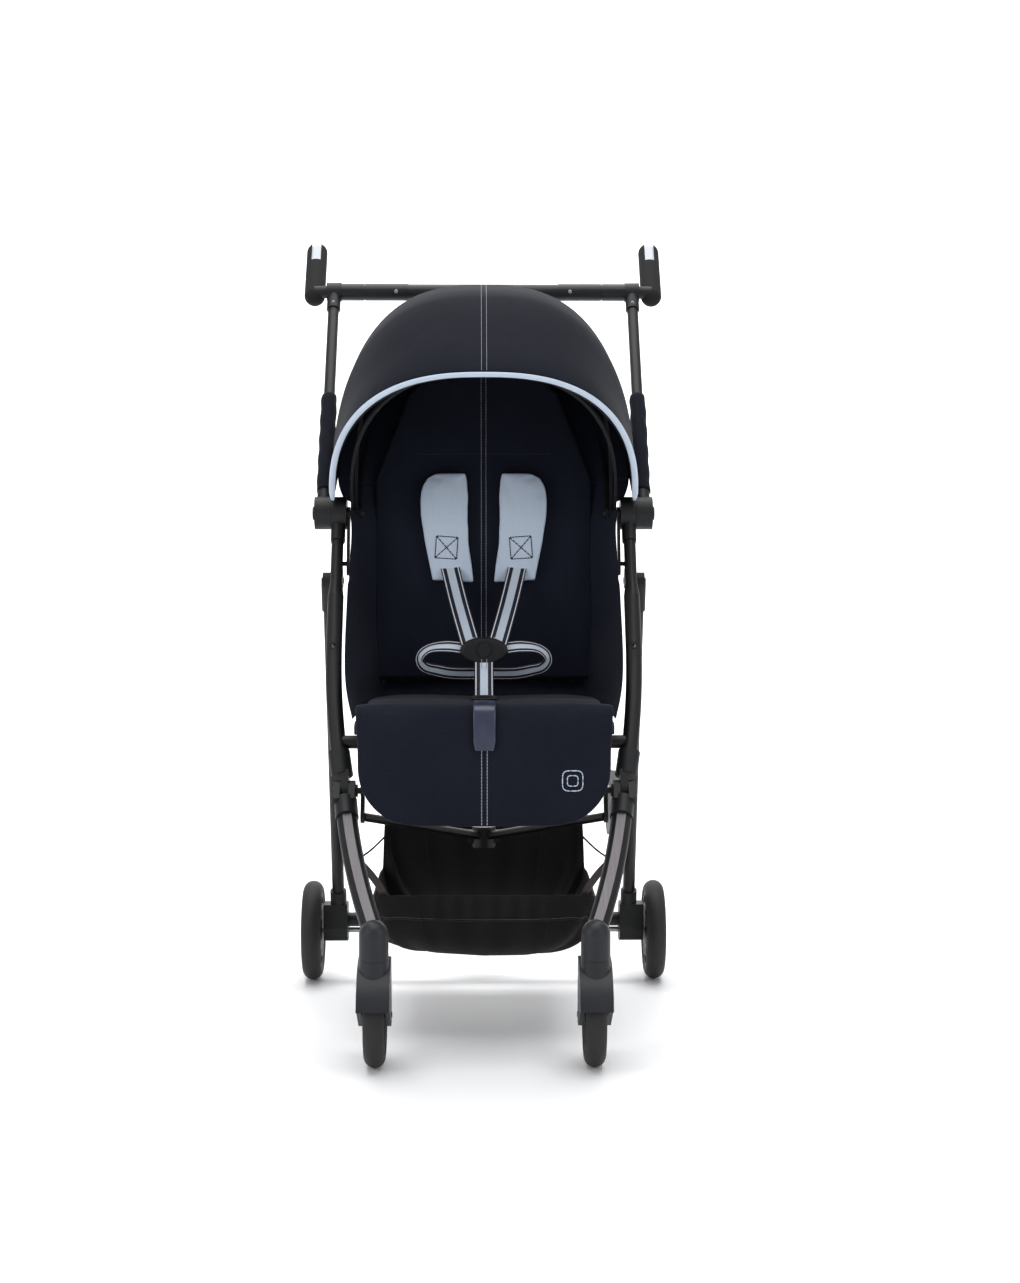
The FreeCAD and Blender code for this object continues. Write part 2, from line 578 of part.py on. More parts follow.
NOSE_R = 7.0
rail_outline = [
    (REST_HINGE_Y, REST_HINGE_Z - NOSE_R), (REST_HINGE_Y, REST_HINGE_Z + NOSE_R),
    (REST_HINGE_Y + 28, REST_HINGE_Z + 8),
    (RECLINE_Y - 10, RECLINE_Z + 8), (RECLINE_Y + 8, RECLINE_Z + 8), (RECLINE_Y + 8, RECLINE_Z - 9),
    (SEAT_BAR.y + 20, board_low + 2), (SEAT_BAR.y + 14, SEAT_BAR_Z - 12), (SEAT_BAR.y - 14, SEAT_BAR_Z - 12),
    (SEAT_BAR.y - 20, board_low + 2),
]
rail = joined(
    side_plate(rail_outline, RAIL_X - RAIL_T / 2, RAIL_X + RAIL_T / 2),
    cross_rod(RAIL_X - RAIL_T / 2, RAIL_X + RAIL_T / 2, REST_HINGE_Y, REST_HINGE_Z, NOSE_R))
rail = rail.cut(cross_rod(0, WIDE, SEAT_BAR.y, SEAT_BAR.z, SEAT_BAR_R))
rail = rail.cut(cross_rod(0, WIDE, REST_HINGE_Y, REST_HINGE_Z, HINGE_PIN_R + RUN))
rail = rail.cut(cross_rod(0, WIDE, RECLINE_Y, RECLINE_Z, HINGE_PIN_R + RUN))
nodes["seat_rails"] = both(rail)
rail_in = RAIL_X - RAIL_T / 2
nodes["seat_board"] = block(-rail_in, rail_in, SEAT_FRONT_Y + 6, SEAT_REAR_Y - 6, board_low, board_top)

lip_z = REST_HINGE_Z + 14
seat_pad = side_plate(
    [(SEAT_FRONT_Y - 20, lip_z), (SEAT_FRONT_Y + 4, lip_z), (SEAT_FRONT_Y + 6, board_top),
     (SEAT_REAR_Y - 6, board_top), (SEAT_REAR_Y - 6, SEAT_TOP_Z - 9), (SEAT_FRONT_Y + 40, SEAT_TOP_Z),
     (SEAT_FRONT_Y - 8, SEAT_TOP_Z - 3), (SEAT_FRONT_Y - 20, SEAT_TOP_Z - 9)],
    -SEAT_HALF, SEAT_HALF)
nodes["seat_pad"] = seat_pad

# Flat stays from the seat bar down to the knee bar, and the crossed links behind.
STAY_T = 5.0
STAY_X = RAIL_X - RAIL_T / 2 - STAY_T - 1
stay_low = KNEE + V(0, -6, -32)
stay = side_plate(
    bar_outline(SEAT_BAR + V(0, 0, -2), stay_low, V(0, 0.9, -0.43), 6.0), STAY_X, STAY_X + STAY_T)
stay = joined(stay, hub(STAY_X, STAY_X + STAY_T, KNEE, 8.0), hub(STAY_X, STAY_X + STAY_T, stay_low, 8.0))
stay = stay.cut(cross_rod(0, WIDE, SEAT_BAR.y, SEAT_BAR.z, SEAT_BAR_R))
stay = stay.cut(hub(STAY_X - 1, STAY_X + STAY_T + 1, KNEE, BAR_R + RUN))
LINK_HUB = V(0, 60, KNEE_Z - 88)
LINK_TUBE_R = 5.5
HUB_HALF_H = 14.0
HUB_R = 16.0
link_tube = rod(stay_low + V(STAY_X + STAY_T / 2, 0, 0), LINK_HUB, LINK_TUBE_R).cut(stay)
link_tube = max(link_tube.Solids, key=lambda solid: solid.Volume)
link_tube = link_tube.cut(block(STAY_X - 0.01, WIDE, -WIDE, WIDE, 0, WIDE))
hub_ear = LINK_TUBE_R + 2.5
hub_block = joined(
    rod(LINK_HUB - V(0, 0, HUB_HALF_H), LINK_HUB + V(0, 0, HUB_HALF_H), HUB_R),
    block(-HUB_R - 6, HUB_R + 6, LINK_HUB.y - hub_ear, LINK_HUB.y + hub_ear,
          LINK_HUB.z - hub_ear, LINK_HUB.z + hub_ear),
)
nodes["frame_brackets"] = both(rear_bracket, stay)
nodes["cross_links"] = joined(hub_block, link_tube, other_side(link_tube))

# Soft side walls between the seat, the backrest and the main tubes.
WALL_T = 3.0
WALL_X = rail_in - GAP - WALL_T
wall_front = [HINGE + main_dir * run + main_back * 4 for run in (70, 240)]
side_wall = side_plate(
    [(SEAT_FRONT_Y + 12, REST_HINGE_Z + 4), (RECLINE_Y - 14, RECLINE_Z - 2), (RECLINE_Y + 22, 560),
     (RECLINE_Y + 42, 660),
     (wall_front[0].y + 24, wall_front[0].z + 24), (wall_front[0].y, wall_front[0].z),
     (wall_front[1].y, wall_front[1].z)],
    WALL_X, WALL_X + WALL_T)
nodes["seat_sides"] = both(side_wall)

# ---- backrest -----------------------------------------------------------------
RECLINE = V(0, RECLINE_Y, RECLINE_Z)
taper_from = 300.0


def upright(solid):
    """Lean a piece drawn standing on the recline axis."""
    solid.rotate(V(0, 0, 0), V(1, 0, 0), -BACK_LEAN)
    solid.translate(RECLINE)
    return solid


def back_outline(half, top_half, low, top, y):
    corner = 40.0
    points = [V(-half, y, low), V(half, y, low), V(half, y, taper_from), V(top_half, y, top - corner),
              V(top_half - corner, y, top), V(corner - top_half, y, top), V(-top_half, y, top - corner),
              V(-half, y, taper_from)]
    return Part.Face(Part.makePolygon(points + points[:1]))


BOARD_HALF = SEAT_HALF - 4
back_board = back_outline(BOARD_HALF, BACK_TOP_HALF, 8, BACK_LENGTH - 8, 0).extrude(V(0, BACK_BOARD_T, 0))
lug = cross_rod(BOARD_HALF - 16, RAIL_X + RAIL_T / 2, 0, 0, HINGE_PIN_R)
lug_plate = joined(
    cross_rod(BOARD_HALF - 16, BOARD_HALF, 0, 0, 6.0), block(BOARD_HALF - 16, BOARD_HALF, 0, BACK_BOARD_T, -3, 12))
back_board = joined(back_board, lug, lug_plate, other_side(lug), other_side(lug_plate))
nodes["backrest_board"] = upright(back_board)
back_pad = back_outline(SEAT_HALF, BACK_TOP_HALF + 4, 24, BACK_LENGTH, -BACK_PAD_T).extrude(
    V(0, BACK_PAD_T, 0))
nodes["backrest_pad"] = upright(back_pad)

SHOULDER_LOW = 160.0
SHOULDER_HIGH = 304.0
shoulder = Part.Face(Part.makePolygon([
    V(20, 0, SHOULDER_LOW), V(64, 0, SHOULDER_LOW - 4), V(84, 0, SHOULDER_HIGH - 24), V(78, 0, SHOULDER_HIGH),
    V(40, 0, SHOULDER_HIGH), V(26, 0, SHOULDER_HIGH - 24), V(20, 0, SHOULDER_LOW)])).extrude(V(0, -12, 0))
shoulder.translate(V(0, -BACK_PAD_T - GAP, 0))
nodes["shoulder_pads"] = upright(both(shoulder))

# ---- harness ------------------------------------------------------------------
BUCKLE_Y = -52.0
BUCKLE_Z = 484.0
BUCKLE_T = 16.0
oval_face = Part.Face(Part.Wire(
    Part.Ellipse(V(31, BUCKLE_Y, BUCKLE_Z), V(0, BUCKLE_Y, BUCKLE_Z + 18), V(0, BUCKLE_Y, BUCKLE_Z)).toShape()))
buckle = oval_face.extrude(V(0, BUCKLE_T, 0))
buckle.translate(V(0, -BUCKLE_T / 2, 0))
buckle = rounded(buckle, [e for e in buckle.Edges if e.Length > 80], 5.0)
button_front = BUCKLE_Y - BUCKLE_T / 2 - 2
button_at = V(0, button_front, BUCKLE_Z + 2)
buckle_button = rod(button_at, button_at + V(0, 7, 0), 9.0)
button_room = rod(button_at - V(0, 2, 0), button_at + V(0, 11, 0), 9.0 + 0.4)
nodes["buckle_body"] = buckle.cut(button_room)
nodes["buckle_button"] = buckle_button
STRAP_HALF = 14.0
strap_z = BUCKLE_Z - 17.6
strap_y = BUCKLE_Y - 66
strap = side_plate(
    [(strap_y, SEAT_TOP_Z - 2), (strap_y + 2, SEAT_TOP_Z - 2.8), (BUCKLE_Y + 2, strap_z - 12),
     (BUCKLE_Y + 2, strap_z), (BUCKLE_Y - 1, strap_z), (BUCKLE_Y - 1, strap_z - 10)],
    -STRAP_HALF, STRAP_HALF)
strap_foot = block(-STRAP_HALF, STRAP_HALF, strap_y - 10, strap_y + 6, SEAT_TOP_Z - 7, SEAT_TOP_Z + 1)
strap = joined(strap, strap_foot).cut(seat_pad).cut(buckle)
nodes["crotch_strap"] = strap

# ---- leg rest -----------------------------------------------------------------
rest_low = REST_HINGE_Z - REST_DROP


def rest_outline(half, low, y):
    """Panel with well-rounded lower corners."""
    corner = 62.0
    c45 = corner * (1 - math.sqrt(0.5))
    top = REST_HINGE_Z + 3
    edges = [
        Part.LineSegment(V(-half, y, low + corner), V(-half, y, top)),
        Part.LineSegment(V(-half, y, top), V(half, y, top)),
        Part.LineSegment(V(half, y, top), V(half, y, low + corner)),
        Part.Arc(V(half, y, low + corner), V(half - c45, y, low + c45), V(half - corner, y, low)),
        Part.LineSegment(V(half - corner, y, low), V(corner - half, y, low)),
        Part.Arc(V(corner - half, y, low), V(c45 - half, y, low + c45), V(-half, y, low + corner)),
    ]
    return Part.Face(Part.Wire([edge.toShape() for edge in edges]))


rest_board = rest_outline(REST_HALF - 6, rest_low + 6, REST_HINGE_Y + 6).extrude(V(0, -6, 0))
rest_board = rest_board.cut(block(-WIDE, WIDE, -WIDE, 0, REST_HINGE_Z - 12, REST_HINGE_Z + 20))
rest_lug = joined(
    cross_rod(RAIL_X - 16, RAIL_X - RAIL_T / 2 - GAP, REST_HINGE_Y, REST_HINGE_Z, 5.5),
    block(RAIL_X - 16, RAIL_X - RAIL_T / 2 - GAP, REST_HINGE_Y, REST_HINGE_Y + 5.5, REST_HINGE_Z - 14, REST_HINGE_Z),
    cross_rod(RAIL_X - 16, RAIL_X + RAIL_T / 2, REST_HINGE_Y, REST_HINGE_Z, HINGE_PIN_R),
)
rest_board = joined(rest_board, rest_lug, other_side(rest_lug))
nodes["legrest_board"] = rest_board
rest_pad = rest_outline(REST_HALF, rest_low, REST_HINGE_Y).extrude(V(0, -12, 0))
rest_pad = rest_pad.cut(block(-WIDE, WIDE, -WIDE, 0, REST_HINGE_Z + 2, REST_HINGE_Z + 20))
notch = NOSE_R + 1.5
rest_pad = rest_pad.cut(block(-WIDE, WIDE, REST_HINGE_Y - notch, 0, REST_HINGE_Z - notch, REST_HINGE_Z + 20))
nodes["legrest_pad"] = rest_pad.cut(rest_board)


# ---- canopy -------------------------------------------------------------------
def dome(half_width, radius, first, last):
    """Points of the canopy's cross-section as (x, distance from the hinge axis)."""
    count = 36
    power = 2 / CANOPY_POWER
    points = []
    for index in range(count + 1):
        turn = first + (last - first) * index / count
        across = abs(math.cos(turn)) ** power * math.copysign(1, math.cos(turn))
        points.append((half_width * across, radius * abs(math.sin(turn)) ** power))
    return points


def on_plane(points, elevation):
    turn = math.radians(elevation)
    return [V(x, HINGE_Y - r * math.cos(turn), HINGE_Z + r * math.sin(turn)) for x, r in points]


def smooth(points):
    curve = Part.BSplineCurve()
    curve.interpolate(points)
    return curve.toShape()


def dome_start(radius):
    """Parameter where the cross-section reaches the hub's clearance radius."""
    return math.asin((SHELL_HUB / radius) ** (CANOPY_POWER / 2))


def canopy_shell(layer, first, last):
    half = CANOPY_HALF - layer * SHELL_STEP
    radius = CANOPY_R - layer * SHELL_STEP
    outer_from = dome_start(radius)
    inner_from = dome_start(radius - SHELL_T)
    outer = on_plane(dome(half, radius, outer_from, math.pi - outer_from), first)
    inner = on_plane(dome(half - SHELL_T, radius - SHELL_T, inner_from, math.pi - inner_from), first)
    wire = Part.Wire([smooth(outer), Part.makeLine(outer[-1], inner[-1]),
                      smooth(inner[::-1]), Part.makeLine(inner[0], outer[0])])
    return Part.Face(wire).revolve(HINGE, V(-1, 0, 0), last - first)


def canopy_bow(half, radius, elevation):
    """Flat bow in one plane through the hinge axis, with an eye at each end."""
    turn = math.radians(elevation)
    normal = V(0, math.sin(turn), math.cos(turn))
    outer = on_plane(dome(half, radius, 0, math.pi), elevation)
    inner = on_plane(dome(half - BOW_T, radius - BOW_T, 0, math.pi), elevation)
    wire = Part.Wire([smooth(outer), Part.makeLine(outer[-1], inner[-1]),
                      smooth(inner[::-1]), Part.makeLine(inner[0], outer[0])])
    face = Part.Face(wire)
    face.translate(normal * (-BOW_W / 2))
    bow = face.extrude(normal * BOW_W)
    eye = hub(half - BOW_T, half, HINGE, 9.0)
    bow = joined(bow, eye, other_side(eye))
    return bow.cut(hub(-half - 1, half + 1, HINGE, PIN_R + RUN))


bow_turn = math.degrees(BOW_W / 2 / CANOPY_R) + 0.1
rear_end = REAR_END - bow_turn
layers = (("front", 0, FRONT_EDGE, MID_EDGE + LAP, FRONT_EDGE + bow_turn),
          ("mid", 1, MID_EDGE, REAR_EDGE + LAP, MID_EDGE + bow_turn),
          ("rear", 2, REAR_EDGE, REAR_END, rear_end))
for name, layer, first, last, bow_elevation in layers:
    bow_r = CANOPY_R - layer * SHELL_STEP - SHELL_T - GAP
    nodes["canopy_shell_" + name] = canopy_shell(layer, first, last)
    nodes["canopy_bow_" + name] = canopy_bow(BOW_HALF - layer * (BOW_T + 1), bow_r, bow_elevation)

# ---- handle -------------------------------------------------------------------
handle_at = V(HANDLE_X, 0, 0)
tube_start = HINGE + handle_at + handle_dir * 24
tube_end = TOP + handle_at - handle_dir * 13
handle_solid = rod(tube_start, tube_end, HANDLE_R)
handle_tube = handle_solid.cut(rod(tube_start - handle_dir, tube_end + handle_dir, HANDLE_R - TUBE_WALL))
nodes["handle_tubes"] = both(handle_tube)
handle_knuckle = joined(
    hub(HOUSING_SPLIT, HOUSING_OUT, HINGE, HOUSING_R),
    rod(HINGE + handle_at, HINGE + handle_at + handle_dir * 48, HANDLE_R + 1.9),
)
handle_knuckle = handle_knuckle.cut(handle_solid).cut(hub(HOUSING_SPLIT - 1, HOUSING_OUT + 1, HINGE, PIN_R + RUN))
nodes["handle_knuckles"] = both(handle_knuckle)

TEE_HALF = 10.5
crossbar_end = HANDLE_X - TEE_HALF
centre_tube = cross_rod(-CENTRE_HALF, CENTRE_HALF, TOP.y, TOP.z, CROSSBAR_R)
centre_bore = cross_rod(-CENTRE_HALF - 1, CENTRE_HALF + 1, TOP.y, TOP.z, CROSSBAR_R - TUBE_WALL)
sleeve = cross_rod(CENTRE_HALF, crossbar_end, TOP.y, TOP.z, SLEEVE_R)
groove_x = CENTRE_HALF + 62
groove = cross_rod(groove_x, groove_x + 1.5, TOP.y, TOP.z, SLEEVE_R + 1).cut(
    cross_rod(groove_x - 1, groove_x + 3, TOP.y, TOP.z, SLEEVE_R - 1))
sleeve = sleeve.cut(groove)
nodes["crossbar"] = Part.makeCompound([centre_tube.cut(centre_bore), sleeve, other_side(sleeve)])

grip_low = TOP + V(GRIP_X, 0, 0) - V(0, 4, 17) + handle_dir * GRIP_R
grip_dir = V(0, math.sin(GRIP_LEAN), math.cos(GRIP_LEAN))
grip_top = grip_low + grip_dir * (GRIP_LENGTH - 2 * GRIP_R)
grip = joined(rod(grip_low, grip_top, GRIP_R), Part.makeSphere(GRIP_R, grip_low), Part.makeSphere(GRIP_R, grip_top))
tee = joined(
    cross_rod(crossbar_end, HANDLE_X + TEE_HALF, TOP.y, TOP.z, 13.5),
    rod(TOP + handle_at - handle_dir * 34, TOP + handle_at, HANDLE_R + 2),
    cross_rod(HANDLE_X, GRIP_X, TOP.y, TOP.z, 9.0),
)
tee = tee.cut(handle_solid)
grip = grip.cut(cross_rod(HANDLE_X, GRIP_X, TOP.y, TOP.z, 9.0))
grip = grip.cut(cross_rod(crossbar_end, HANDLE_X + TEE_HALF, TOP.y, TOP.z, 13.5))
nodes["tees"] = both(tee)

# Glossy strip over the top of each grip, let into the foam.
inlay_front = V(0, -math.cos(GRIP_LEAN), math.sin(GRIP_LEAN))
strip_half = 6.5
band_outer = joined(rod(grip_low, grip_top, GRIP_R), Part.makeSphere(GRIP_R, grip_top))
band_inner = joined(rod(grip_low - grip_dir, grip_top, GRIP_R - 2), Part.makeSphere(GRIP_R - 2, grip_top))
band = band_outer.cut(band_inner)
STRIP_LENGTH = 26.0       # down the grip from its last full section
slab = Part.makeBox(2 * strip_half, 60, 60, V(-strip_half, 0, 0))
slab.rotate(V(0, 0, 0), V(1, 0, 0), -math.degrees(GRIP_LEAN))
slab.translate(grip_top - grip_dir * STRIP_LENGTH)
slab_back = slab.copy()
slab_back.translate(inlay_front * 60)
grip_strip = band.common(slab.fuse(slab_back).removeSplitter())
grip_strip = max(grip_strip.Solids, key=lambda solid: solid.Volume)
nodes["grip_inlays"] = both(grip_strip)
nodes["grips"] = both(grip.cut(grip_strip))

# Fold release under the middle of the crossbar.
RELEASE_HALF = 36.0
case = block(-RELEASE_HALF, RELEASE_HALF, TOP.y - 13, TOP.y + 13, TOP.z - 30, TOP.z - 2)
case = rounded(case, [e for e in case.Edges if abs(e.Vertexes[0].Y - e.Vertexes[1].Y) < 0.01
                      and abs(e.Vertexes[0].X - e.Vertexes[1].X) < 0.01], 6.0)
case = case.cut(centre_tube)
case = max(case.Solids, key=lambda solid: solid.Volume)
PRESS = 5.0
button_in = block(-17, 17, TOP.y - 8, TOP.y + 8, TOP.z - 34, TOP.z - 22)
room = block(-17 - GAP, 17 + GAP, TOP.y - 8 - GAP, TOP.y + 8 + GAP, TOP.z - 36, TOP.z - 22 + PRESS + GAP)
SLIDE = 6.0
slider = block(21, 28, TOP.y + 8, TOP.y + 16, TOP.z - 24, TOP.z - 16)
slider_room = block(21 - GAP, 28 + SLIDE + GAP, TOP.y + 8 - GAP, TOP.y + 17, TOP.z - 24 - GAP, TOP.z - 16 + GAP)
nodes["release_housing"] = case.cut(room).cut(slider_room)
nodes["release_button"] = button_in
nodes["secondary_lock"] = slider

# ---- basket -------------------------------------------------------------------
basket_outline = [
    (BASKET_FRONT_Y, BASKET_FRONT_Z), (BASKET_FRONT_Y + 3, BASKET_LOW_Z + 50), (BASKET_FRONT_Y + 44, BASKET_LOW_Z + 8),
    (BASKET_FRONT_Y + 120, BASKET_LOW_Z), (BASKET_REAR_Y - 60, BASKET_LOW_Z), (BASKET_REAR_Y - 20, BASKET_LOW_Z + 18),
    (BASKET_REAR_Y, BASKET_LOW_Z + 70), (BASKET_REAR_Y - 30, BASKET_REAR_Z),
    (BASKET_REAR_Y - 60, BASKET_REAR_Z - 6), (BASKET_REAR_Y - 110, BASKET_FRONT_Z + 4),
]
full = side_plate(basket_outline, -BASKET_HALF, BASKET_HALF)
inner = [
    (BASKET_FRONT_Y + BASKET_T, BASKET_FRONT_Z + 60), (BASKET_FRONT_Y + 3 + BASKET_T, BASKET_LOW_Z + 51),
    (BASKET_FRONT_Y + 45, BASKET_LOW_Z + 9 + BASKET_T), (BASKET_FRONT_Y + 120, BASKET_LOW_Z + BASKET_T),
    (BASKET_REAR_Y - 60, BASKET_LOW_Z + BASKET_T), (BASKET_REAR_Y - 22, BASKET_LOW_Z + 20),
    (BASKET_REAR_Y - BASKET_T, BASKET_LOW_Z + 70), (BASKET_REAR_Y - 33 - BASKET_T, BASKET_REAR_Z + 20),
]
basket = full.cut(side_plate(inner, -BASKET_HALF + BASKET_T, BASKET_HALF - BASKET_T))
# Two webbing loops hold the basket's back to the rear cross tube.
loop_r = CROSS_R + GAP
for x0 in (-110, 80):
    loop = joined(
        cross_rod(x0, x0 + 30, cross_y, TUBE_Z, loop_r + 2),
        block(x0, x0 + 30, BASKET_REAR_Y - 24, cross_y, TUBE_Z + 9, TUBE_Z + 11.5))
    loop = loop.cut(cross_rod(x0 - 1, x0 + 31, cross_y, TUBE_Z, loop_r))
    basket = joined(basket, loop)
nodes["basket"] = basket

# ---- to the origin, and out ---------------------------------------------------
low_y = min(nodes[name].optimalBoundingBox(False).YMin for name in ("fork_left", "front_tyre_left"))
high_y = max(nodes[name].optimalBoundingBox(False).YMax for name in ("grips", "grip_inlays", "rear_tyre_left"))
to_origin = V(0, -(low_y + high_y) / 2, 0)

os.makedirs("parts", exist_ok=True)
for name, shape in nodes.items():
    placed = shape.copy()
    placed.translate(to_origin)
    placed.exportStep("parts/" + name + ".step")

print("nodes", len(nodes), "solids", sum(len(shape.Solids) for shape in nodes.values()))
joint_points = {
    "hinge": HINGE, "knee": KNEE, "rear_pivot": REAR_PIVOT, "recline": RECLINE,
    "legrest": V(0, REST_HINGE_Y, REST_HINGE_Z), "swivel": V(SWIVEL_X, SWIVEL_Y, HEAD_LOW_Z),
    "front_axle": wheel_at, "rear_axle": REAR_AXLE + V(REAR_WHEEL_X, 0, 0),
    "pedal": V(0, cross_y, TUBE_Z), "bush": bush_centre, "top": TOP,
}
for name, point in joint_points.items():
    moved = point + to_origin
    print(name, round(moved.x / 1000, 6), round(moved.y / 1000, 6), round(moved.z / 1000, 6))
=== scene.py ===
import json
import math

import bpy
import numpy as np
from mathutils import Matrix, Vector
from mathutils.bvhtree import BVHTree


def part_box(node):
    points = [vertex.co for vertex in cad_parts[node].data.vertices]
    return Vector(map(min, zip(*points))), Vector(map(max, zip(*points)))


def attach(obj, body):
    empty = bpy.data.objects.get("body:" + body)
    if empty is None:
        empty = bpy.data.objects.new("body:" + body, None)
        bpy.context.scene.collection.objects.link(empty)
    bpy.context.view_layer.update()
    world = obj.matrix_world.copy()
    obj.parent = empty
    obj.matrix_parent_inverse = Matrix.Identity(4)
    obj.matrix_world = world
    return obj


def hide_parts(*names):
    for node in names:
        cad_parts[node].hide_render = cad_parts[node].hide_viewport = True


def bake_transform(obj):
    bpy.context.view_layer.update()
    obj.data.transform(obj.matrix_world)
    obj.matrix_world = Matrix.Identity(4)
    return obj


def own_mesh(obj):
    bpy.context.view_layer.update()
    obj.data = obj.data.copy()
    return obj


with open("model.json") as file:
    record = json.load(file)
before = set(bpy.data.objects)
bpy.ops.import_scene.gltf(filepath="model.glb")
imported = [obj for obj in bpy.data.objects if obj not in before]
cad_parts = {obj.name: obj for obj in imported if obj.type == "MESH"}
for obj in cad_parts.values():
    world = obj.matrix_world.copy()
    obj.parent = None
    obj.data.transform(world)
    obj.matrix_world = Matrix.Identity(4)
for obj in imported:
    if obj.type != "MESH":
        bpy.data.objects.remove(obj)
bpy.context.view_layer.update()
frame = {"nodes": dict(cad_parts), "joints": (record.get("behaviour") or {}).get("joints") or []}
MM = 0.001
CLOSE = 0.02 * MM      # corners nearer than this are one

# ---- Studio camera -----------------------------------------------------------------
# A short telephoto lens on a stand at chest height, just off the pushchair's centre
# line and tipped slightly down.
CAMERA_AT = (-0.0074, -2.836, 0.641)
CAMERA_DOWN = math.radians(2.98)
CAMERA_RIGHT = math.radians(0.847)
LENS = 60.3              # millimetres, on a 36 mm sensor
bpy.ops.object.select_all(action="DESELECT")
bpy.ops.object.camera_add(location=CAMERA_AT, rotation=(math.pi / 2 - CAMERA_DOWN, 0, -CAMERA_RIGHT))
camera = bpy.context.object
camera.data.lens = LENS
camera.data.sensor_width = 36
bpy.context.scene.camera = camera
bpy.context.scene.view_settings.view_transform = "Standard"


# ---- Studio floor and light --------------------------------------------------------
# A white vinyl sweep that runs flat under the wheels and curves up far behind, lit by
# a large overhead softbox and two side ones.
def linear(code):
    """An sRGB hex colour as linear red, green, blue and alpha."""
    shares = [int(code[at:at + 2], 16) / 255 for at in (1, 3, 5)]
    return [s / 12.92 if s <= 0.04045 else ((s + 0.055) / 1.055) ** 2.4 for s in shares] + [1.0]


def add(tree, kind, inputs=(), **settings):
    """Adds a node. Inputs give each socket a value or the socket that feeds it."""
    node = tree.nodes.new(kind)
    for name, value in settings.items():
        setattr(node, name, value)
    for name, value in dict(inputs).items():
        if isinstance(value, bpy.types.NodeSocket):
            tree.links.new(value, node.inputs[name])
        else:
            node.inputs[name].default_value = value
    return node


def new_material(name, **sockets):
    """A material with its Principled shader's own values set."""
    made = bpy.data.materials.new(name)
    made.use_nodes = True
    shader = made.node_tree.nodes["Principled BSDF"]
    for socket, value in sockets.items():
        shader.inputs[socket.replace("_", " ")].default_value = value
    return made, made.node_tree, shader


def select_only(piece):
    """Makes a piece the one that Blender's tools work on."""
    bpy.ops.object.select_all(action="DESELECT")
    piece.select_set(True)
    bpy.context.view_layer.objects.active = piece


def apply_modifier(piece, kind, **settings):
    """Adds one modifier to a piece and applies it."""
    select_only(piece)
    bpy.ops.object.modifier_add(type=kind)
    modifier = piece.modifiers[-1]
    for name, value in settings.items():
        setattr(modifier, name, value)
    bpy.ops.object.modifier_apply(modifier=modifier.name)


def laid(name, columns, rows, place, made, size=None):
    """A sheet: a flat grid whose corners are laid on place(u, v), with its UV map in metres."""
    bpy.ops.object.select_all(action="DESELECT")
    bpy.ops.mesh.primitive_grid_add(x_subdivisions=columns, y_subdivisions=rows, size=1)
    piece = bpy.context.object
    piece.name = name
    piece.data.name = name
    for corner in piece.data.vertices:
        corner.co = place(corner.co.x + 0.5, corner.co.y + 0.5)
    if size:
        for loop in piece.data.uv_layers[0].data:
            loop.uv = (loop.uv[0] * size[0], loop.uv[1] * size[1])
    piece.data.materials.append(made)
    bpy.ops.object.shade_smooth()
    return piece


def cut_size(place, ease=1.0):
    """The mean length of a sheet's columns and rows, with a share of ease for gathers."""
    steps = [k / 24 for k in range(25)]
    wide = sum((place(b, v) - place(a, v)).length for v in steps for a, b in zip(steps, steps[1:])) / 25
    deep = sum((place(u, b) - place(u, a)).length for u in steps for a, b in zip(steps, steps[1:])) / 25
    return round(wide * ease, 3), round(deep * ease, 3)


SWEEP_HALF = 6.0
SWEEP_FRONT = -6.0
SWEEP_BACK = 2.6       # where the floor starts to curve up
SWEEP_R = 1.6
SWEEP_RISE = 4.0       # the flat wall above the curve


def sweep_point(u, v):
    """A point of the sweep: v runs from its front edge to the top of its wall."""
    flat = SWEEP_BACK - SWEEP_FRONT
    run = v * (flat + SWEEP_R * math.pi / 2 + SWEEP_RISE)
    bend = min(max(run - flat, 0) / SWEEP_R, math.pi / 2)
    rise = max(run - flat - SWEEP_R * math.pi / 2, 0)
    y = SWEEP_FRONT + min(run, flat) + SWEEP_R * math.sin(bend)
    return Vector(((u * 2 - 1) * SWEEP_HALF, y, SWEEP_R * (1 - math.cos(bend)) + rise))


vinyl, tree, shader = new_material("white_vinyl_sweep", Base_Color=linear("#fcfcfc"), Roughness=0.55)
grain = add(tree, "ShaderNodeTexNoise", {"Scale": 90.0, "Detail": 2.0})
bump = add(tree, "ShaderNodeBump", {"Height": grain.outputs["Fac"], "Strength": 0.02, "Distance": 0.001})
tree.links.new(bump.outputs["Normal"], shader.inputs["Normal"])
sweep = laid("studio_sweep", 8, 120, sweep_point, vinyl)

world = bpy.data.worlds.new("studio_air")
bpy.context.scene.world = world
world.use_nodes = True
world.node_tree.nodes["Background"].inputs["Color"].default_value = linear("#f4f6fa")
world.node_tree.nodes["Background"].inputs["Strength"].default_value = 0.45


def softbox(name, place, aim, size, power):
    """A square area light pointed at a place."""
    turn = (Vector(place) - Vector(aim)).to_track_quat("Z", "Y").to_euler()
    bpy.ops.object.light_add(type="AREA", location=place, rotation=turn)
    light = bpy.context.object
    light.name = name
    light.data.size = size
    light.data.energy = power


softbox("overhead_softbox", (0, -0.4, 3.0), (0, -0.2, 0.3), 2.6, 60)
softbox("left_softbox", (2.6, -2.2, 1.5), (0, 0, 0.6), 1.6, 20)
softbox("right_softbox", (-2.6, -2.0, 1.5), (0, 0, 0.6), 1.6, 26)
softbox("backdrop_light", (0, 1.6, 3.4), (0, 4.2, 1.2), 3.0, 170)

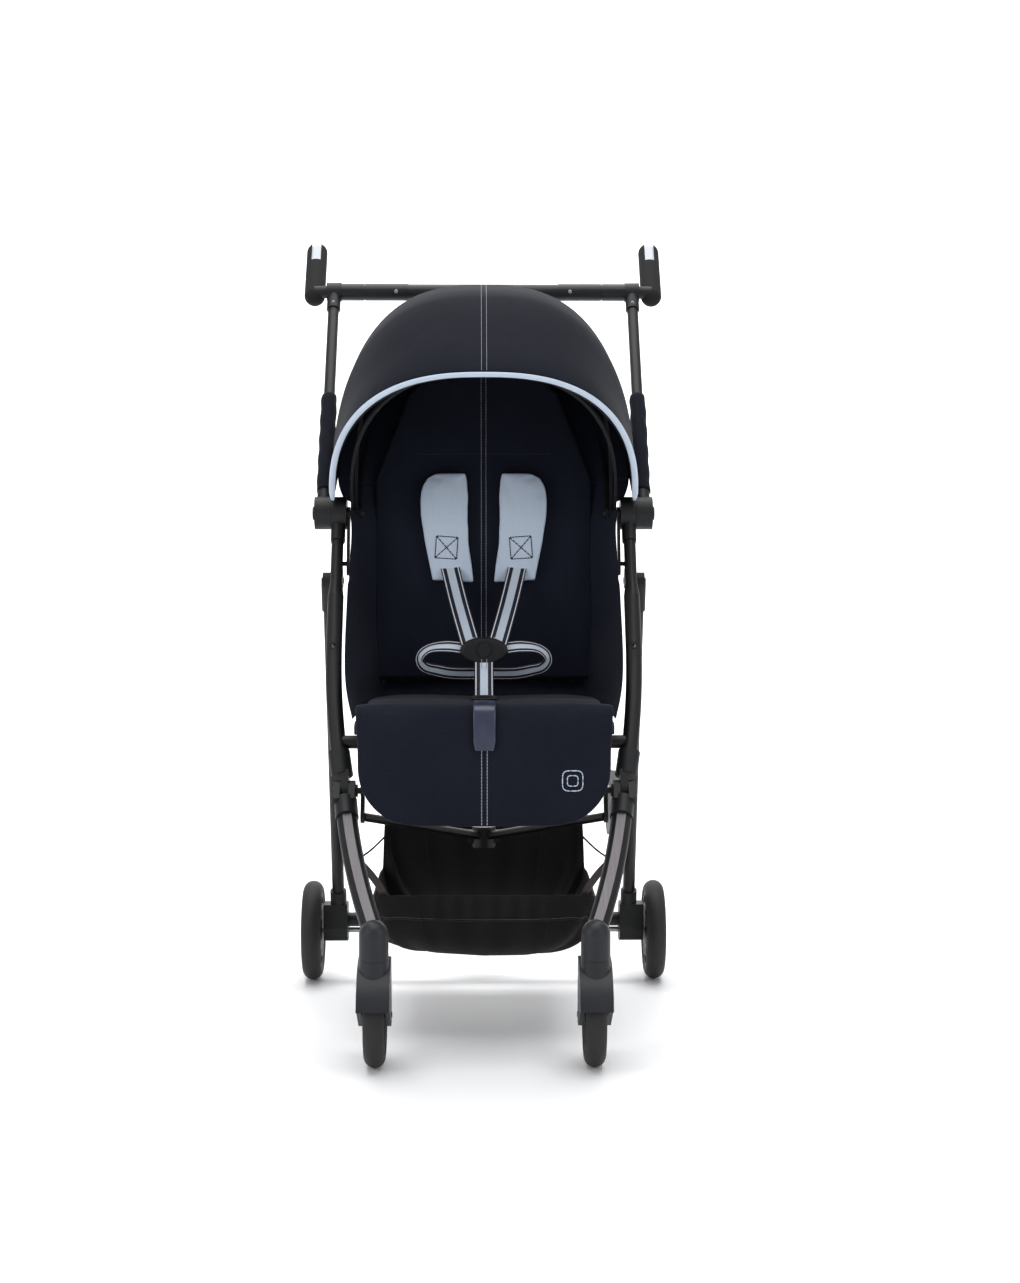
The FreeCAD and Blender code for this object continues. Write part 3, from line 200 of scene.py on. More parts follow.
# ---- Frame tubes -------------------------------------------------------------------
# Drawn aluminium tube, bent and swaged, with a satin black polyester powder coat: an
# even sheen with a faint orange-peel surface.
powder, tree, shader = new_material("satin_black_powder_coat", IOR=1.5, Specular_IOR_Level=0.35)
flow = add(tree, "ShaderNodeTexCoord")
patch = add(tree, "ShaderNodeTexNoise", {"Vector": flow.outputs["Object"], "Scale": 14.0, "Detail": 3.0})
tone = add(tree, "ShaderNodeMapRange", {"Value": patch.outputs["Fac"], "To Min": 0.38, "To Max": 0.5})
tree.links.new(tone.outputs["Result"], shader.inputs["Roughness"])
colour = add(tree, "ShaderNodeMix", {"Factor": patch.outputs["Fac"]}, data_type="RGBA")
colour.inputs["A"].default_value = linear("#101011")
colour.inputs["B"].default_value = linear("#18181a")
tree.links.new(colour.outputs["Result"], shader.inputs["Base Color"])
PEEL = 1.6 * MM        # orange peel in the coat
peel = add(tree, "ShaderNodeTexNoise",
           {"Vector": flow.outputs["Object"], "Scale": 1 / PEEL, "Detail": 1.0})
bump = add(tree, "ShaderNodeBump", {"Height": peel.outputs["Fac"], "Strength": 0.12, "Distance": 0.0003})
tree.links.new(bump.outputs["Normal"], shader.inputs["Normal"])


def finish(made, *names):
    """Gives CAD nodes their finish."""
    for name in names:
        mesh = frame["nodes"][name].data
        mesh.materials.clear()
        mesh.materials.append(made)


finish(powder, "main_tubes", "handle_tubes", "front_legs", "rear_legs", "rear_cross_tube", "seat_bar",
       "seat_rails", "knee_bar", "cross_links")

# ---- Hinges, collars and other mouldings -------------------------------------------
# Glass-filled nylon, moulded with a fine spark texture that scatters light, and with
# faintly uneven patches of tone and sheen.


def grained(name, dark, light, rough, grit):
    """A hard matt surface with a fine grain, uneven in tone and sheen: nylon or a treated metal."""
    made, tree, shader = new_material(name, IOR=1.53, Specular_IOR_Level=0.3)
    place = add(tree, "ShaderNodeTexCoord").outputs["Object"]
    cloud = add(tree, "ShaderNodeTexNoise", {"Vector": place, "Scale": 22.0, "Detail": 4.0})
    blend = add(tree, "ShaderNodeMix", {"Factor": cloud.outputs["Fac"]}, data_type="RGBA")
    blend.inputs["A"].default_value = linear(dark)
    blend.inputs["B"].default_value = linear(light)
    tree.links.new(blend.outputs["Result"], shader.inputs["Base Color"])
    sheen = add(tree, "ShaderNodeMapRange",
                {"Value": cloud.outputs["Fac"], "To Min": rough - 0.06, "To Max": rough + 0.08})
    tree.links.new(sheen.outputs["Result"], shader.inputs["Roughness"])
    spark = add(tree, "ShaderNodeTexNoise", {"Vector": place, "Scale": 1 / grit, "Detail": 2.0})
    bump = add(tree, "ShaderNodeBump",
               {"Height": spark.outputs["Fac"], "Strength": 0.22, "Distance": 0.0002})
    tree.links.new(bump.outputs["Normal"], shader.inputs["Normal"])
    return made


moulded = grained("spark_textured_black_nylon", "#121314", "#1b1c1e", 0.5, 0.9 * MM)
slate = grained("smooth_slate_nylon", "#1c1d20", "#292b2f", 0.42, 1.1 * MM)
finish(moulded, "accessory_bushes", "hinge_housings", "knee_collars", "frame_brackets", "buckle_body",
       "buckle_button", "handle_knuckles", "tees", "release_housing", "knee_knuckles", "rear_knuckles",
       "brake_housings")
finish(slate, "caster_heads", "fork_left", "fork_right", "release_button", "secondary_lock",
       "brake_pedal")
sleeved = grained("navy_sleeved_nylon_bow", "#07080c", "#0c0d13", 0.8, 1.2 * MM)
finish(sleeved, "canopy_bow_front", "canopy_bow_mid", "canopy_bow_rear")

# ---- Pins, links and axle ----------------------------------------------------------
# Turned and pressed steel with a thin bright zinc plating, faintly clouded.
zinc, tree, shader = new_material("zinc_plated_steel", Metallic=1.0)
place = add(tree, "ShaderNodeTexCoord").outputs["Object"]
cloud = add(tree, "ShaderNodeTexNoise", {"Vector": place, "Scale": 60.0, "Detail": 5.0})
tone = add(tree, "ShaderNodeMix", {"Factor": cloud.outputs["Fac"]}, data_type="RGBA")
tone.inputs["A"].default_value = linear("#8b8c8f")
tone.inputs["B"].default_value = linear("#b4b5b7")
tree.links.new(tone.outputs["Result"], shader.inputs["Base Color"])
sheen = add(tree, "ShaderNodeMapRange", {"Value": cloud.outputs["Fac"], "To Min": 0.28, "To Max": 0.42})
tree.links.new(sheen.outputs["Result"], shader.inputs["Roughness"])
finish(zinc, "rear_axle", "brake_pin_left", "brake_pin_right")

# Blackened pins and links: the same steel, phosphated and oiled so it doesn't catch light.
phosphate = grained("black_phosphated_steel", "#242526", "#303133", 0.4, 0.7 * MM)
finish(phosphate, "frame_pins", "fold_links")

# ---- Leg strips --------------------------------------------------------------------
# Extruded aluminium strip, brushed along its length and anodised a warm grey.
strip, tree, shader = new_material("brushed_warm_grey_aluminium", Metallic=0.85, Roughness=0.42)
place = add(tree, "ShaderNodeTexCoord").outputs["Object"]
BRUSH = 0.9 * MM       # brush lines, drawn coarser than real ones so that they show
along = add(tree, "ShaderNodeMapping", {"Vector": place, "Scale": (1 / BRUSH, 6.0, 6.0)})
lines = add(tree, "ShaderNodeTexNoise", {"Vector": along.outputs["Vector"], "Scale": 1.0, "Detail": 3.0})
tone = add(tree, "ShaderNodeMix", {"Factor": lines.outputs["Fac"]}, data_type="RGBA")
tone.inputs["A"].default_value = linear("#4e4b4e")
tone.inputs["B"].default_value = linear("#6e6b6e")
tree.links.new(tone.outputs["Result"], shader.inputs["Base Color"])
bump = add(tree, "ShaderNodeBump", {"Height": lines.outputs["Fac"], "Strength": 0.1, "Distance": 0.0002})
tree.links.new(bump.outputs["Normal"], shader.inputs["Normal"])
finish(strip, "leg_inlays")

# ---- Crossbar ----------------------------------------------------------------------
# Dark anodised tube with moulded swivel sleeves, satin and slightly lighter than the frame.
anodised = grained("dark_anodised_aluminium", "#141516", "#1e2022", 0.36, 1.4 * MM)
finish(anodised, "crossbar")

# ---- Grips -------------------------------------------------------------------------
# Closed-cell foam rubber sleeves, matt and very finely pitted, with a polished strip let
# into the top of each, coloured pale grey-white as a painted highlight.
foam, tree, shader = new_material("foam_rubber_grip", Base_Color=linear("#0e0e0e"), Roughness=0.85,
                                  IOR=1.45)
place = add(tree, "ShaderNodeTexCoord").outputs["Object"]
CELL = 0.8 * MM
cells = add(tree, "ShaderNodeTexVoronoi", {"Vector": place, "Scale": 1 / CELL})
bump = add(tree, "ShaderNodeBump",
           {"Height": cells.outputs["Distance"], "Strength": 0.35, "Distance": 0.0003})
tree.links.new(bump.outputs["Normal"], shader.inputs["Normal"])
finish(foam, "grips")
# The inlay's pale grey-white base colour is a painted highlight, standing for the glare off its glossy
# top.
gloss_painted_highlight, tree, shader = new_material("polished_polycarbonate_painted_highlight", Base_Color=linear("#aeb3ba"),
                                   Roughness=0.12, IOR=1.58, Coat_Weight=0.5)
place = add(tree, "ShaderNodeTexCoord").outputs["Object"]
wave = add(tree, "ShaderNodeTexNoise", {"Vector": place, "Scale": 120.0, "Detail": 1.0})
bump = add(tree, "ShaderNodeBump", {"Height": wave.outputs["Fac"], "Strength": 0.05, "Distance": 0.0003})
tree.links.new(bump.outputs["Normal"], shader.inputs["Normal"])
finish(gloss_painted_highlight, "grip_inlays")

# ---- Wheels ------------------------------------------------------------------------
# Solid foamed-polyurethane tyres with a matt moulded skin, on spoked nylon rims.
tyre, tree, shader = new_material("foamed_polyurethane_tyre", Roughness=0.7, IOR=1.5)
place = add(tree, "ShaderNodeTexCoord").outputs["Object"]
dust = add(tree, "ShaderNodeTexNoise", {"Vector": place, "Scale": 35.0, "Detail": 6.0})
tone = add(tree, "ShaderNodeMix", {"Factor": dust.outputs["Fac"]}, data_type="RGBA")
tone.inputs["A"].default_value = linear("#131211")
tone.inputs["B"].default_value = linear("#1e1d1b")
tree.links.new(tone.outputs["Result"], shader.inputs["Base Color"])
skin = add(tree, "ShaderNodeTexNoise", {"Vector": place, "Scale": 1 / (1.2 * MM), "Detail": 2.0})
bump = add(tree, "ShaderNodeBump", {"Height": skin.outputs["Fac"], "Strength": 0.3, "Distance": 0.0003})
tree.links.new(bump.outputs["Normal"], shader.inputs["Normal"])
rim_nylon = grained("matt_grey_rim_nylon", "#2b2a2a", "#3a3938", 0.55, 1.0 * MM)
SIDES = (("right", -1), ("left", 1))
for word, side in SIDES:
    finish(tyre, "front_tyre_" + word, "rear_tyre_" + word)
    finish(rim_nylon, "front_rim_" + word, "rear_rim_" + word)

# ---- Seat boards -------------------------------------------------------------------
# Polypropylene boards inside the seat, grey with a matt back.
board = grained("matt_grey_polypropylene", "#141518", "#1c1d21", 0.6, 1.3 * MM)
finish(board, "seat_board", "backrest_board", "legrest_board")

# ---- Hood --------------------------------------------------------------------------
# One piece of navy polyester stretched over three bows, hemmed round each end bow. It
# is a plain weave with a slight sheen, and slackens a little between the bows.
WAVE = 0.314           # the wave texture's scale that gives one band per unit of length


def polyester(name, dark, light, thread, lie="UV", weft_axis="Y", sheen=0.05, crease=0.35):
    """Plain-weave cloth. lie is the coordinates its threads follow: its own UV map, or the object's."""
    made, tree, shader = new_material(name, IOR=1.45, Specular_IOR_Level=0.12, Roughness=0.8,
                                      Sheen_Weight=sheen, Sheen_Roughness=0.5)
    where = add(tree, "ShaderNodeTexCoord")
    warp = add(tree, "ShaderNodeTexWave", {"Vector": where.outputs[lie], "Scale": WAVE / thread},
               bands_direction="X")
    weft = add(tree, "ShaderNodeTexWave", {"Vector": where.outputs[lie], "Scale": WAVE / thread},
               bands_direction=weft_axis)
    weave = add(tree, "ShaderNodeMath", {0: warp.outputs["Fac"], 1: weft.outputs["Fac"]},
                operation="MULTIPLY")
    cloud = add(tree, "ShaderNodeTexNoise",
                {"Vector": where.outputs["Object"], "Scale": 9.0, "Detail": 4.0})
    slub = add(tree, "ShaderNodeMath", {0: cloud.outputs["Fac"], 1: weave.outputs["Value"]},
               operation="ADD")
    share = add(tree, "ShaderNodeMapRange",
                {"Value": slub.outputs["Value"], "From Min": 0.3, "From Max": 1.5})
    tone = add(tree, "ShaderNodeMix", {"Factor": share.outputs["Result"]}, data_type="RGBA")
    tone.inputs["A"].default_value = linear(dark)
    tone.inputs["B"].default_value = linear(light)
    tree.links.new(tone.outputs["Result"], shader.inputs["Base Color"])
    fine = add(tree, "ShaderNodeBump",
               {"Height": weave.outputs["Value"], "Strength": 0.3, "Distance": 0.0003})
    soft = add(tree, "ShaderNodeTexNoise",
               {"Vector": where.outputs["Object"], "Scale": 16.0, "Detail": 3.0})
    folds = add(tree, "ShaderNodeBump", {"Height": soft.outputs["Fac"], "Strength": crease,
                                         "Distance": 0.004, "Normal": fine.outputs["Normal"]})
    tree.links.new(folds.outputs["Normal"], shader.inputs["Normal"])
    return made


THREAD = 1.6 * MM      # about three real threads, so that the weave shows
navy = polyester("navy_plain_weave_polyester", "#0a0d17", "#141724", THREAD)
seat_navy = polyester("dark_navy_seat_polyester", "#151824", "#202432", THREAD)
binding_blue = polyester("pale_blue_binding_tape", "#bccadd", "#d3deeb", 1.2 * MM, sheen=0.1,
                         crease=0.15)


def joint_at(name):
    """Where a joint is, from the frame's own record."""
    return Vector(next(joint for joint in frame["joints"] if joint["name"] == name)["pos_m"])


HINGE = joint_at("canopy_tilt")
hood_low, hood_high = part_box("canopy_shell_front")
HOOD_HALF = hood_high.x
HOOD_R = 306 * MM
HOOD_SQUARE = 2.53      # the front bow's superellipse, and how much squarer the rest is
REAR_SQUARER = 0.08
SQUARER_BY = math.radians(45)
HOOD_HUB = 26 * MM      # the height over the hinge line where the cloth starts
FRONT_EDGE = math.radians(33.7)
REAR_EDGE = math.radians(127)
BOWS = (FRONT_EDGE, math.radians(64), math.radians(94.5), REAR_EDGE)
SLACK = 5 * MM
HEM = 11 * MM
HUB_TURN = math.asin((HOOD_HUB / HOOD_R) ** (HOOD_SQUARE / 2))


def hood_point(across, elevation, inward=0.0):
    """A point of the hood, 0 to 1 from the right hub to the left, and inward from its outside."""
    turn = math.pi - HUB_TURN - across * (math.pi - 2 * HUB_TURN)
    further = min(max((elevation - FRONT_EDGE) / SQUARER_BY, 0), 1)
    power = 2 / (HOOD_SQUARE + REAR_SQUARER * further)
    high = abs(math.sin(turn)) ** power
    wide = math.copysign(abs(math.cos(turn)) ** power, math.cos(turn))
    reach = (HOOD_R - inward) * high
    side = (HOOD_HALF - inward) * wide
    return HINGE + Vector((side, -reach * math.cos(elevation), reach * math.sin(elevation)))


def hood_slack(across, elevation):
    """How far the cloth falls in between two bows, least at the hubs."""
    for low, high in zip(BOWS, BOWS[1:]):
        if low <= elevation <= high:
            share = (elevation - low) / (high - low)
            return SLACK * math.sin(math.pi * share) ** 1.4 * math.sin(math.pi * across) ** 0.6
    return 0.0


HEM_SHARE = 0.06
FRONT_ROLL = math.radians(0.5)
REAR_ROLL = math.radians(0.9)


def hood_place(across, v):
    """The hood's cloth, turned in round a bow at each end of v."""
    depth = HEM * math.sin(math.pi * across) ** 0.5
    if v < HEM_SHARE:
        curl = 1 - v / HEM_SHARE
        bulge = FRONT_ROLL * math.sin(math.pi * min(curl * 1.5, 1))
        return hood_point(across, FRONT_EDGE - bulge, depth * curl ** 1.6)
    if v > 1 - HEM_SHARE:
        curl = (v - 1 + HEM_SHARE) / HEM_SHARE
        bulge = REAR_ROLL * math.sin(math.pi * min(curl * 1.5, 1) / 2)
        return hood_point(across, REAR_EDGE + bulge, depth * curl ** 1.6)
    elevation = FRONT_EDGE + (REAR_EDGE - FRONT_EDGE) * (v - HEM_SHARE) / (1 - 2 * HEM_SHARE)
    return hood_point(across, elevation, hood_slack(across, elevation))


def with_hood(piece):
    """Bakes a hood piece's placement into its mesh."""
    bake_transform(piece)


HOOD_FLAT = cut_size(hood_place)
hood = laid("hood_cloth", 112, 84, hood_place, navy, HOOD_FLAT)
apply_modifier(hood, "SOLIDIFY", thickness=1.0 * MM, offset=-1)
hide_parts("canopy_shell_front", "canopy_shell_mid", "canopy_shell_rear")
with_hood(hood)


def rolled(name, columns, around, middle, outward, half_wide, half_thick, made):
    """A long soft roll: middle(u) is its centre line and outward(u) the direction of its wider half."""
    def place(u, v):
        turn = 2 * math.pi * v
        ahead = (middle(min(u + 0.002, 1)) - middle(max(u - 0.002, 0))).normalized()
        wide = outward(u).normalized()
        thick = ahead.cross(wide).normalized()
        taper = min(1, (u + 0.004) * 60, (1.004 - u) * 60) ** 0.5
        return (middle(u) + wide * half_wide * math.cos(turn) * taper
                + thick * half_thick * math.sin(turn) * taper)
    piece = laid(name, columns, around, place, made, (0.9, 0.03))
    apply_modifier(piece, "WELD", merge_threshold=CLOSE)
    bpy.ops.object.mode_set(mode="EDIT")
    bpy.ops.mesh.select_all(action="SELECT")
    bpy.ops.mesh.fill_holes(sides=0)
    bpy.ops.mesh.normals_make_consistent(inside=False)
    bpy.ops.object.mode_set(mode="OBJECT")
    return piece


# Pale binding folded over the hood's front edge, ending in a tuck at each hinge housing.
def binding_line(u):
    return hood_point(0.004 + 0.992 * u, FRONT_EDGE - math.radians(0.55), 1.0 * MM)


def binding_side(u):
    across = 0.004 + 0.992 * u
    return hood_point(across, FRONT_EDGE, 0) - hood_point(across, FRONT_EDGE, 0.02)


binding = rolled("hood_binding", 220, 14, binding_line, binding_side, 4.2 * MM, 2.2 * MM, binding_blue)
with_hood(binding)

# ---- Stitching ---------------------------------------------------------------------
# Twin rows of grey polyester thread, sewn down the middle of the hood, seat and leg rest.
TWIST = 0.8 * MM       # the lay of the thread's plies


def thread(name, code):
    """Twisted polyester sewing thread in one colour."""
    made, tree, shader = new_material(name, Base_Color=linear(code), Roughness=0.6)
    place = add(tree, "ShaderNodeTexCoord").outputs["Object"]
    twist = add(tree, "ShaderNodeTexNoise", {"Vector": place, "Scale": 1 / TWIST})
    bump = add(tree, "ShaderNodeBump",
               {"Height": twist.outputs["Fac"], "Strength": 0.4, "Distance": 0.0002})
    tree.links.new(bump.outputs["Normal"], shader.inputs["Normal"])
    return made


thread_grey = thread("grey_polyester_thread", "#8f929b")
thread_dark = thread("navy_polyester_thread", "#141828")
STITCH = 4.0 * MM
THREAD_R = 0.55 * MM
ROW_GAP = 6.4 * MM     # between the two rows of a double seam


def stitches(name, line, length, made, radius=THREAD_R):
    """A row of stitches along line(u): a thread that dips into the cloth between stitches."""
    count = max(2, round(length / STITCH))

    def place(u, v):
        dip = abs(math.sin(math.pi * u * count)) ** 0.35
        here = line(u)
        ahead = line(min(u + 0.001, 1)) - line(max(u - 0.001, 0))
        side = ahead.cross(Vector((0.31, 0.55, 0.77))).normalized()
        up = side.cross(ahead).normalized()
        turn = 2 * math.pi * v
        return here + (side * math.cos(turn) + up * math.sin(turn)) * radius * (0.25 + 0.75 * dip)
    piece = laid(name, count * 4, 5, place, made)
    apply_modifier(piece, "WELD", merge_threshold=CLOSE)
    return piece


for word, side in SIDES:
    def hood_row(u, side=side):
        elevation = FRONT_EDGE + math.radians(0.5) + (REAR_EDGE - FRONT_EDGE - math.radians(2)) * u
        spot = hood_point(0.5, elevation, hood_slack(0.5, elevation) - 0.1 * MM)
        return spot + Vector((side * ROW_GAP / 2, 0, 0))
    row = stitches("hood_stitching_" + word, hood_row, 0.49, thread_grey, 0.38 * MM)
    with_hood(row)

# ---- Seat surround -----------------------------------------------------------------
# Soft navy side wings and a rear curtain, sewn to the hood and the seat frame along one
# edge and to the backrest cover along the other.
OUTER = ((0.165, -0.150, 0.404), (0.178, -0.085, 0.455), (0.179, -0.020, 0.550), (0.1755, 0.022, 0.650),
         (0.197, 0.084, 0.711), (0.186, 0.147, 0.787), (0.152, 0.199, 0.857), (0.090, 0.228, 0.897),
         (0.000, 0.2335, 0.9035))
INNER = ((0.136, 0.048, 0.418), (0.137, 0.056, 0.470), (0.137, 0.072, 0.560), (0.137, 0.088, 0.640),
         (0.134, 0.101, 0.700), (0.110, 0.117, 0.770), (0.084, 0.124, 0.822), (0.045, 0.124, 0.845),
         (0.000, 0.122, 0.848))


def through(points, share):
    """A smooth line through points, at a share of their number."""
    last = len(points) - 1
    spot = min(max(share, 0), 1) * last
    at = min(int(spot), last - 1)
    t = spot - at
    a, b, c, d = (Vector(points[min(max(at + step, 0), last)]) for step in (-1, 0, 1, 2))
    curve = 2 * b + (c - a) * t + (2 * a - 5 * b + 4 * c - d) * t * t
    return 0.5 * (curve + (3 * b - a - 3 * c + d) * t ** 3)


def mirrored(spot, side):
    return Vector((spot.x * side, spot.y, spot.z))


def plane_between(sewn, eased=()):
    """Start and end of a bend with the wanted share at the sewn spots, and nearly so at the eased."""
    rows = np.array([[*spot, 1.0] for spot, share in sewn])
    wanted = np.array([share for spot, share in sewn])
    slope = np.linalg.lstsq(rows, wanted, rcond=None)[0]
    free = np.linalg.svd(rows)[2][len(sewn):].T
    if eased:
        others = np.array([[*spot, 1.0] for spot, share in eased])
        missing = np.array([share for spot, share in eased]) - others @ slope
        slope = slope + free @ np.linalg.lstsq(others @ free, missing, rcond=0.05)[0]
    lean = Vector(slope[:3])
    middle = Vector(sewn[0][0])
    start = middle - lean * ((lean.dot(middle) + slope[3]) / lean.length_squared)
    return start, start + lean / lean.length_squared


def scallop(share):
    """The gathered front edge of a side wing, elastic between its tacks."""
    return 3.0 * MM * (abs(math.sin(math.pi * 4 * share)) - 0.5)


def seam_ends(line, side):
    """A seam's outer and inner ends, with the share of the backrest's motion that each takes."""
    return (mirrored(Vector(OUTER[line]), side), 0.0), (mirrored(Vector(INNER[line]), side), 1.0)


WING_SEAM = 0.5        # shares of the outline where the sectors are seamed
CURTAIN_SEAM = 0.75
GATHER = 1.04          # the cloth's width over its place's
BILLOW = 4.0 * MM
RIPPLE = 3.0 * MM
HINGE_LOW, HINGE_HIGH, INSIDE_HINGE = 0.570, 0.680, 0.1768


def billowed(share, v, flat_at_seam):
    """A spot of the surround's left half, bowed and rippled away from its seams."""
    spot = through(OUTER, share).lerp(through(INNER, share), v)
    bow = BILLOW + RIPPLE * math.sin(26 * share + 2 * v)
    spot.x += math.sin(math.pi * v) * bow * flat_at_seam
    return spot


def surround(name, first, last, columns, rows, sewn, eased=()):
    """One sector of the surround between two seams, given as signed shares of the whole outline."""
    def place(u, v):
        signed = first + (last - first) * u
        share, side = abs(signed), math.copysign(1, signed)
        seam = min(abs(share - WING_SEAM), abs(share - CURTAIN_SEAM))
        spot = billowed(share, v, min(1, 12 * seam))
        loose = max(0, min(1, (WING_SEAM - share) * 8))
        spot.y -= (1 - v) * scallop(share * 2) * loose
        spot.x += 2.0 * MM * math.sin(math.pi * v) * math.sin(41 * share) * loose
        if HINGE_LOW < spot.z < HINGE_HIGH:
            spot.x = min(spot.x, INSIDE_HINGE)
        return mirrored(spot, side)
    flat = cut_size(place, GATHER)
    piece = laid(name, columns, rows, place, seat_navy, flat)
    apply_modifier(piece, "SOLIDIFY", thickness=1.2 * MM, offset=0)
    start, end = plane_between(sewn, eased)
    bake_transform(piece)
    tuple(start)
    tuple(end)
    return piece


# The strip that closes the gap between the seat and the backrest.
CREASE_HALF = 0.158
CREASE_LOW = Vector((0, 0.014, 0.410))
CREASE_HIGH = Vector((0, 0.066, 0.478))


def crease_place(u, v):
    spot = CREASE_LOW.lerp(CREASE_HIGH, v) + Vector(((2 * u - 1) * CREASE_HALF, 0, 0))
    sag = Vector((0, 12 * MM, -12 * MM)) * math.sin(math.pi * v)
    return spot + sag + Vector((0, 0, 1.5 * MM * math.sin(70 * u)))


crease_flat = cut_size(crease_place)
crease = laid("seat_crease", 60, 12, crease_place, seat_navy, crease_flat)
apply_modifier(crease, "SOLIDIFY", thickness=1.2 * MM, offset=0)
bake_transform(crease)

for word, side in SIDES:
    eased = [end for line in range(4) for end in seam_ends(line, side)]
    wing = surround("side_wing_" + word, 0.0001 * side, WING_SEAM * side, 64, 24,
                    seam_ends(4, side), eased)
    if side < 0:
        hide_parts("seat_sides")
    surround("curtain_side_" + word, WING_SEAM * side, CURTAIN_SEAM * side, 32, 24,
             seam_ends(4, side) + seam_ends(6, side))


def over_the_top(u, v):
    """The middle of the curtain, from its left seam over the top to its right one."""
    share = 1 - (1 - CURTAIN_SEAM) * abs(2 * u - 1)
    spot = billowed(share, v, min(1, 12 * (share - CURTAIN_SEAM), 8 * (1 - share)))
    return mirrored(spot, math.copysign(1, 0.5 - u))


top_flat = cut_size(over_the_top, GATHER)
top = laid("curtain_top", 64, 24, over_the_top, seat_navy, top_flat)
apply_modifier(top, "SOLIDIFY", thickness=1.2 * MM, offset=0)
top_start, top_end = plane_between(seam_ends(6, 1) + seam_ends(6, -1))
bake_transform(top)
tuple(top_start)
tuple(top_end)

# ---- Padded covers -----------------------------------------------------------------
# The seat and backrest are quilted: polyester over wadding, sewn through to the board
# along a few seams, so that the cloth swells between them.
back_cloth = polyester("navy_quilted_seat_cover", "#151824", "#202432", THREAD, "Object", "Z")
base_cloth = polyester("navy_quilted_seat_base", "#151824", "#202432", THREAD, "Object", "Y")


def copy_of(node, name, shrink, centre):
    """A copy of a CAD node's mesh, with its doubles merged, drawn in towards its centre."""
    select_only(frame["nodes"][node])
    bpy.ops.object.duplicate()
    piece = bpy.context.object
    piece.name = name
    piece.data = piece.data.copy()
    piece.data.name = name
    apply_modifier(piece, "WELD", merge_threshold=CLOSE / 2)
    for corner in piece.data.vertices:
        corner.co = centre + (corner.co - centre) * shrink
    return piece


def remeshed(piece, voxel, made):
    select_only(piece)
    piece.data.remesh_voxel_size = voxel
    bpy.ops.object.voxel_remesh()
    piece.data.materials.clear()
    piece.data.materials.append(made)


SWELL_FRAMES = 20


def stuffed(piece, held, pressure, cap):
    """Swells a closed cover with wadding. held(spot, normal) is 1 where it is sewn down."""
    start = [corner.co.copy() for corner in piece.data.vertices]
    normals = [corner.normal.copy() for corner in piece.data.vertices]
    group = piece.vertex_groups.new(name="sewn")
    for at, spot in enumerate(start):
        group.add([at], held(spot, normals[at]), "REPLACE")
    select_only(piece)
    bpy.ops.object.modifier_add(type="CLOTH")
    cloth = piece.modifiers[-1]
    cloth.settings.quality = 5
    cloth.settings.use_pressure = True
    cloth.settings.uniform_pressure_force = pressure
    cloth.settings.vertex_group_mass = "sewn"
    cloth.settings.effector_weights.gravity = 0
    cloth.point_cache.frame_start = 1
    cloth.point_cache.frame_end = SWELL_FRAMES
    for moment in range(1, SWELL_FRAMES + 1):
        bpy.context.scene.frame_set(moment)
    bpy.ops.object.modifier_apply(modifier=cloth.name)
    bpy.context.scene.frame_set(1)
    piece.vertex_groups.clear()
    for corner, spot in zip(piece.data.vertices, start):
        shift = corner.co - spot
        if shift.length > cap:
            corner.co = spot + shift * (cap / shift.length)
    apply_modifier(piece, "SUBSURF", levels=1, render_levels=1)
    select_only(piece)
    bpy.ops.object.shade_smooth()


def surface_of(piece):
    """Something that can be asked where a line first meets the piece."""
    bpy.context.view_layer.update()
    return BVHTree.FromObject(piece, bpy.context.evaluated_depsgraph_get())


def onto(tree_of_faces, spot, way, lift):
    """The point where a line from spot meets the cloth, lifted off it."""
    found, normal, *_ = tree_of_faces.ray_cast(Vector(spot), Vector(way).normalized())
    if found is None:
        return Vector(spot)
    return found - Vector(way).normalized() * lift


RECLINE = joint_at("backrest_recline")
BACK_LEAN = math.radians(11.4)
UP = Vector((0, math.sin(BACK_LEAN), math.cos(BACK_LEAN)))
OUT = Vector((0, -math.cos(BACK_LEAN), math.sin(BACK_LEAN)))
back_low, back_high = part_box("backrest_pad")
BACK_SEAM_X = 0.112
BACK_SEAM_UP = 0.330
SEAM_REACH = 3.0 * MM  # cloth this near a seam is held down
INSET = 0.985          # a cover starts a little inside the CAD pad that it replaces


def back_held(spot, normal):
    up = (spot - RECLINE).dot(UP)
    if normal.dot(OUT) < 0.3:
        return 1.0
    seam_x = BACK_SEAM_X * (1 if up < 0.3 else 0.8)
    near = min(abs(spot.x), abs(abs(spot.x) - seam_x), abs(up - BACK_SEAM_UP))
    return 1.0 if near < SEAM_REACH else 0.0


back = copy_of("backrest_pad", "backrest_cover", INSET, (back_low + back_high) / 2)
remeshed(back, 5.0 * MM, back_cloth)
stuffed(back, back_held, 3.0, 6 * MM)
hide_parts("backrest_pad")
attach(back, "backrest")
back_faces = surface_of(back)


def on_back(x, up, lift):
    spot = RECLINE + UP * up + OUT * 0.2
    return onto(back_faces, (x, spot.y, spot.z), -OUT, lift)


BACK_ROW = (0.02, 0.445)
for word, x in (("centre_left", ROW_GAP / 2), ("centre_right", -ROW_GAP / 2)):
    def back_row(u, x=x):
        return on_back(x, BACK_ROW[0] + (BACK_ROW[1] - BACK_ROW[0]) * u, 0.2 * MM)
    row = stitches("back_stitching_" + word, back_row, BACK_ROW[1] - BACK_ROW[0], thread_grey)
    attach(row, "backrest")


def yoke_row(u):
    return on_back(-0.09 + 0.18 * u, BACK_SEAM_UP + 0.004, 0.15 * MM)


yoke = stitches("back_yoke_stitching", yoke_row, 0.18, thread_dark)
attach(yoke, "backrest")

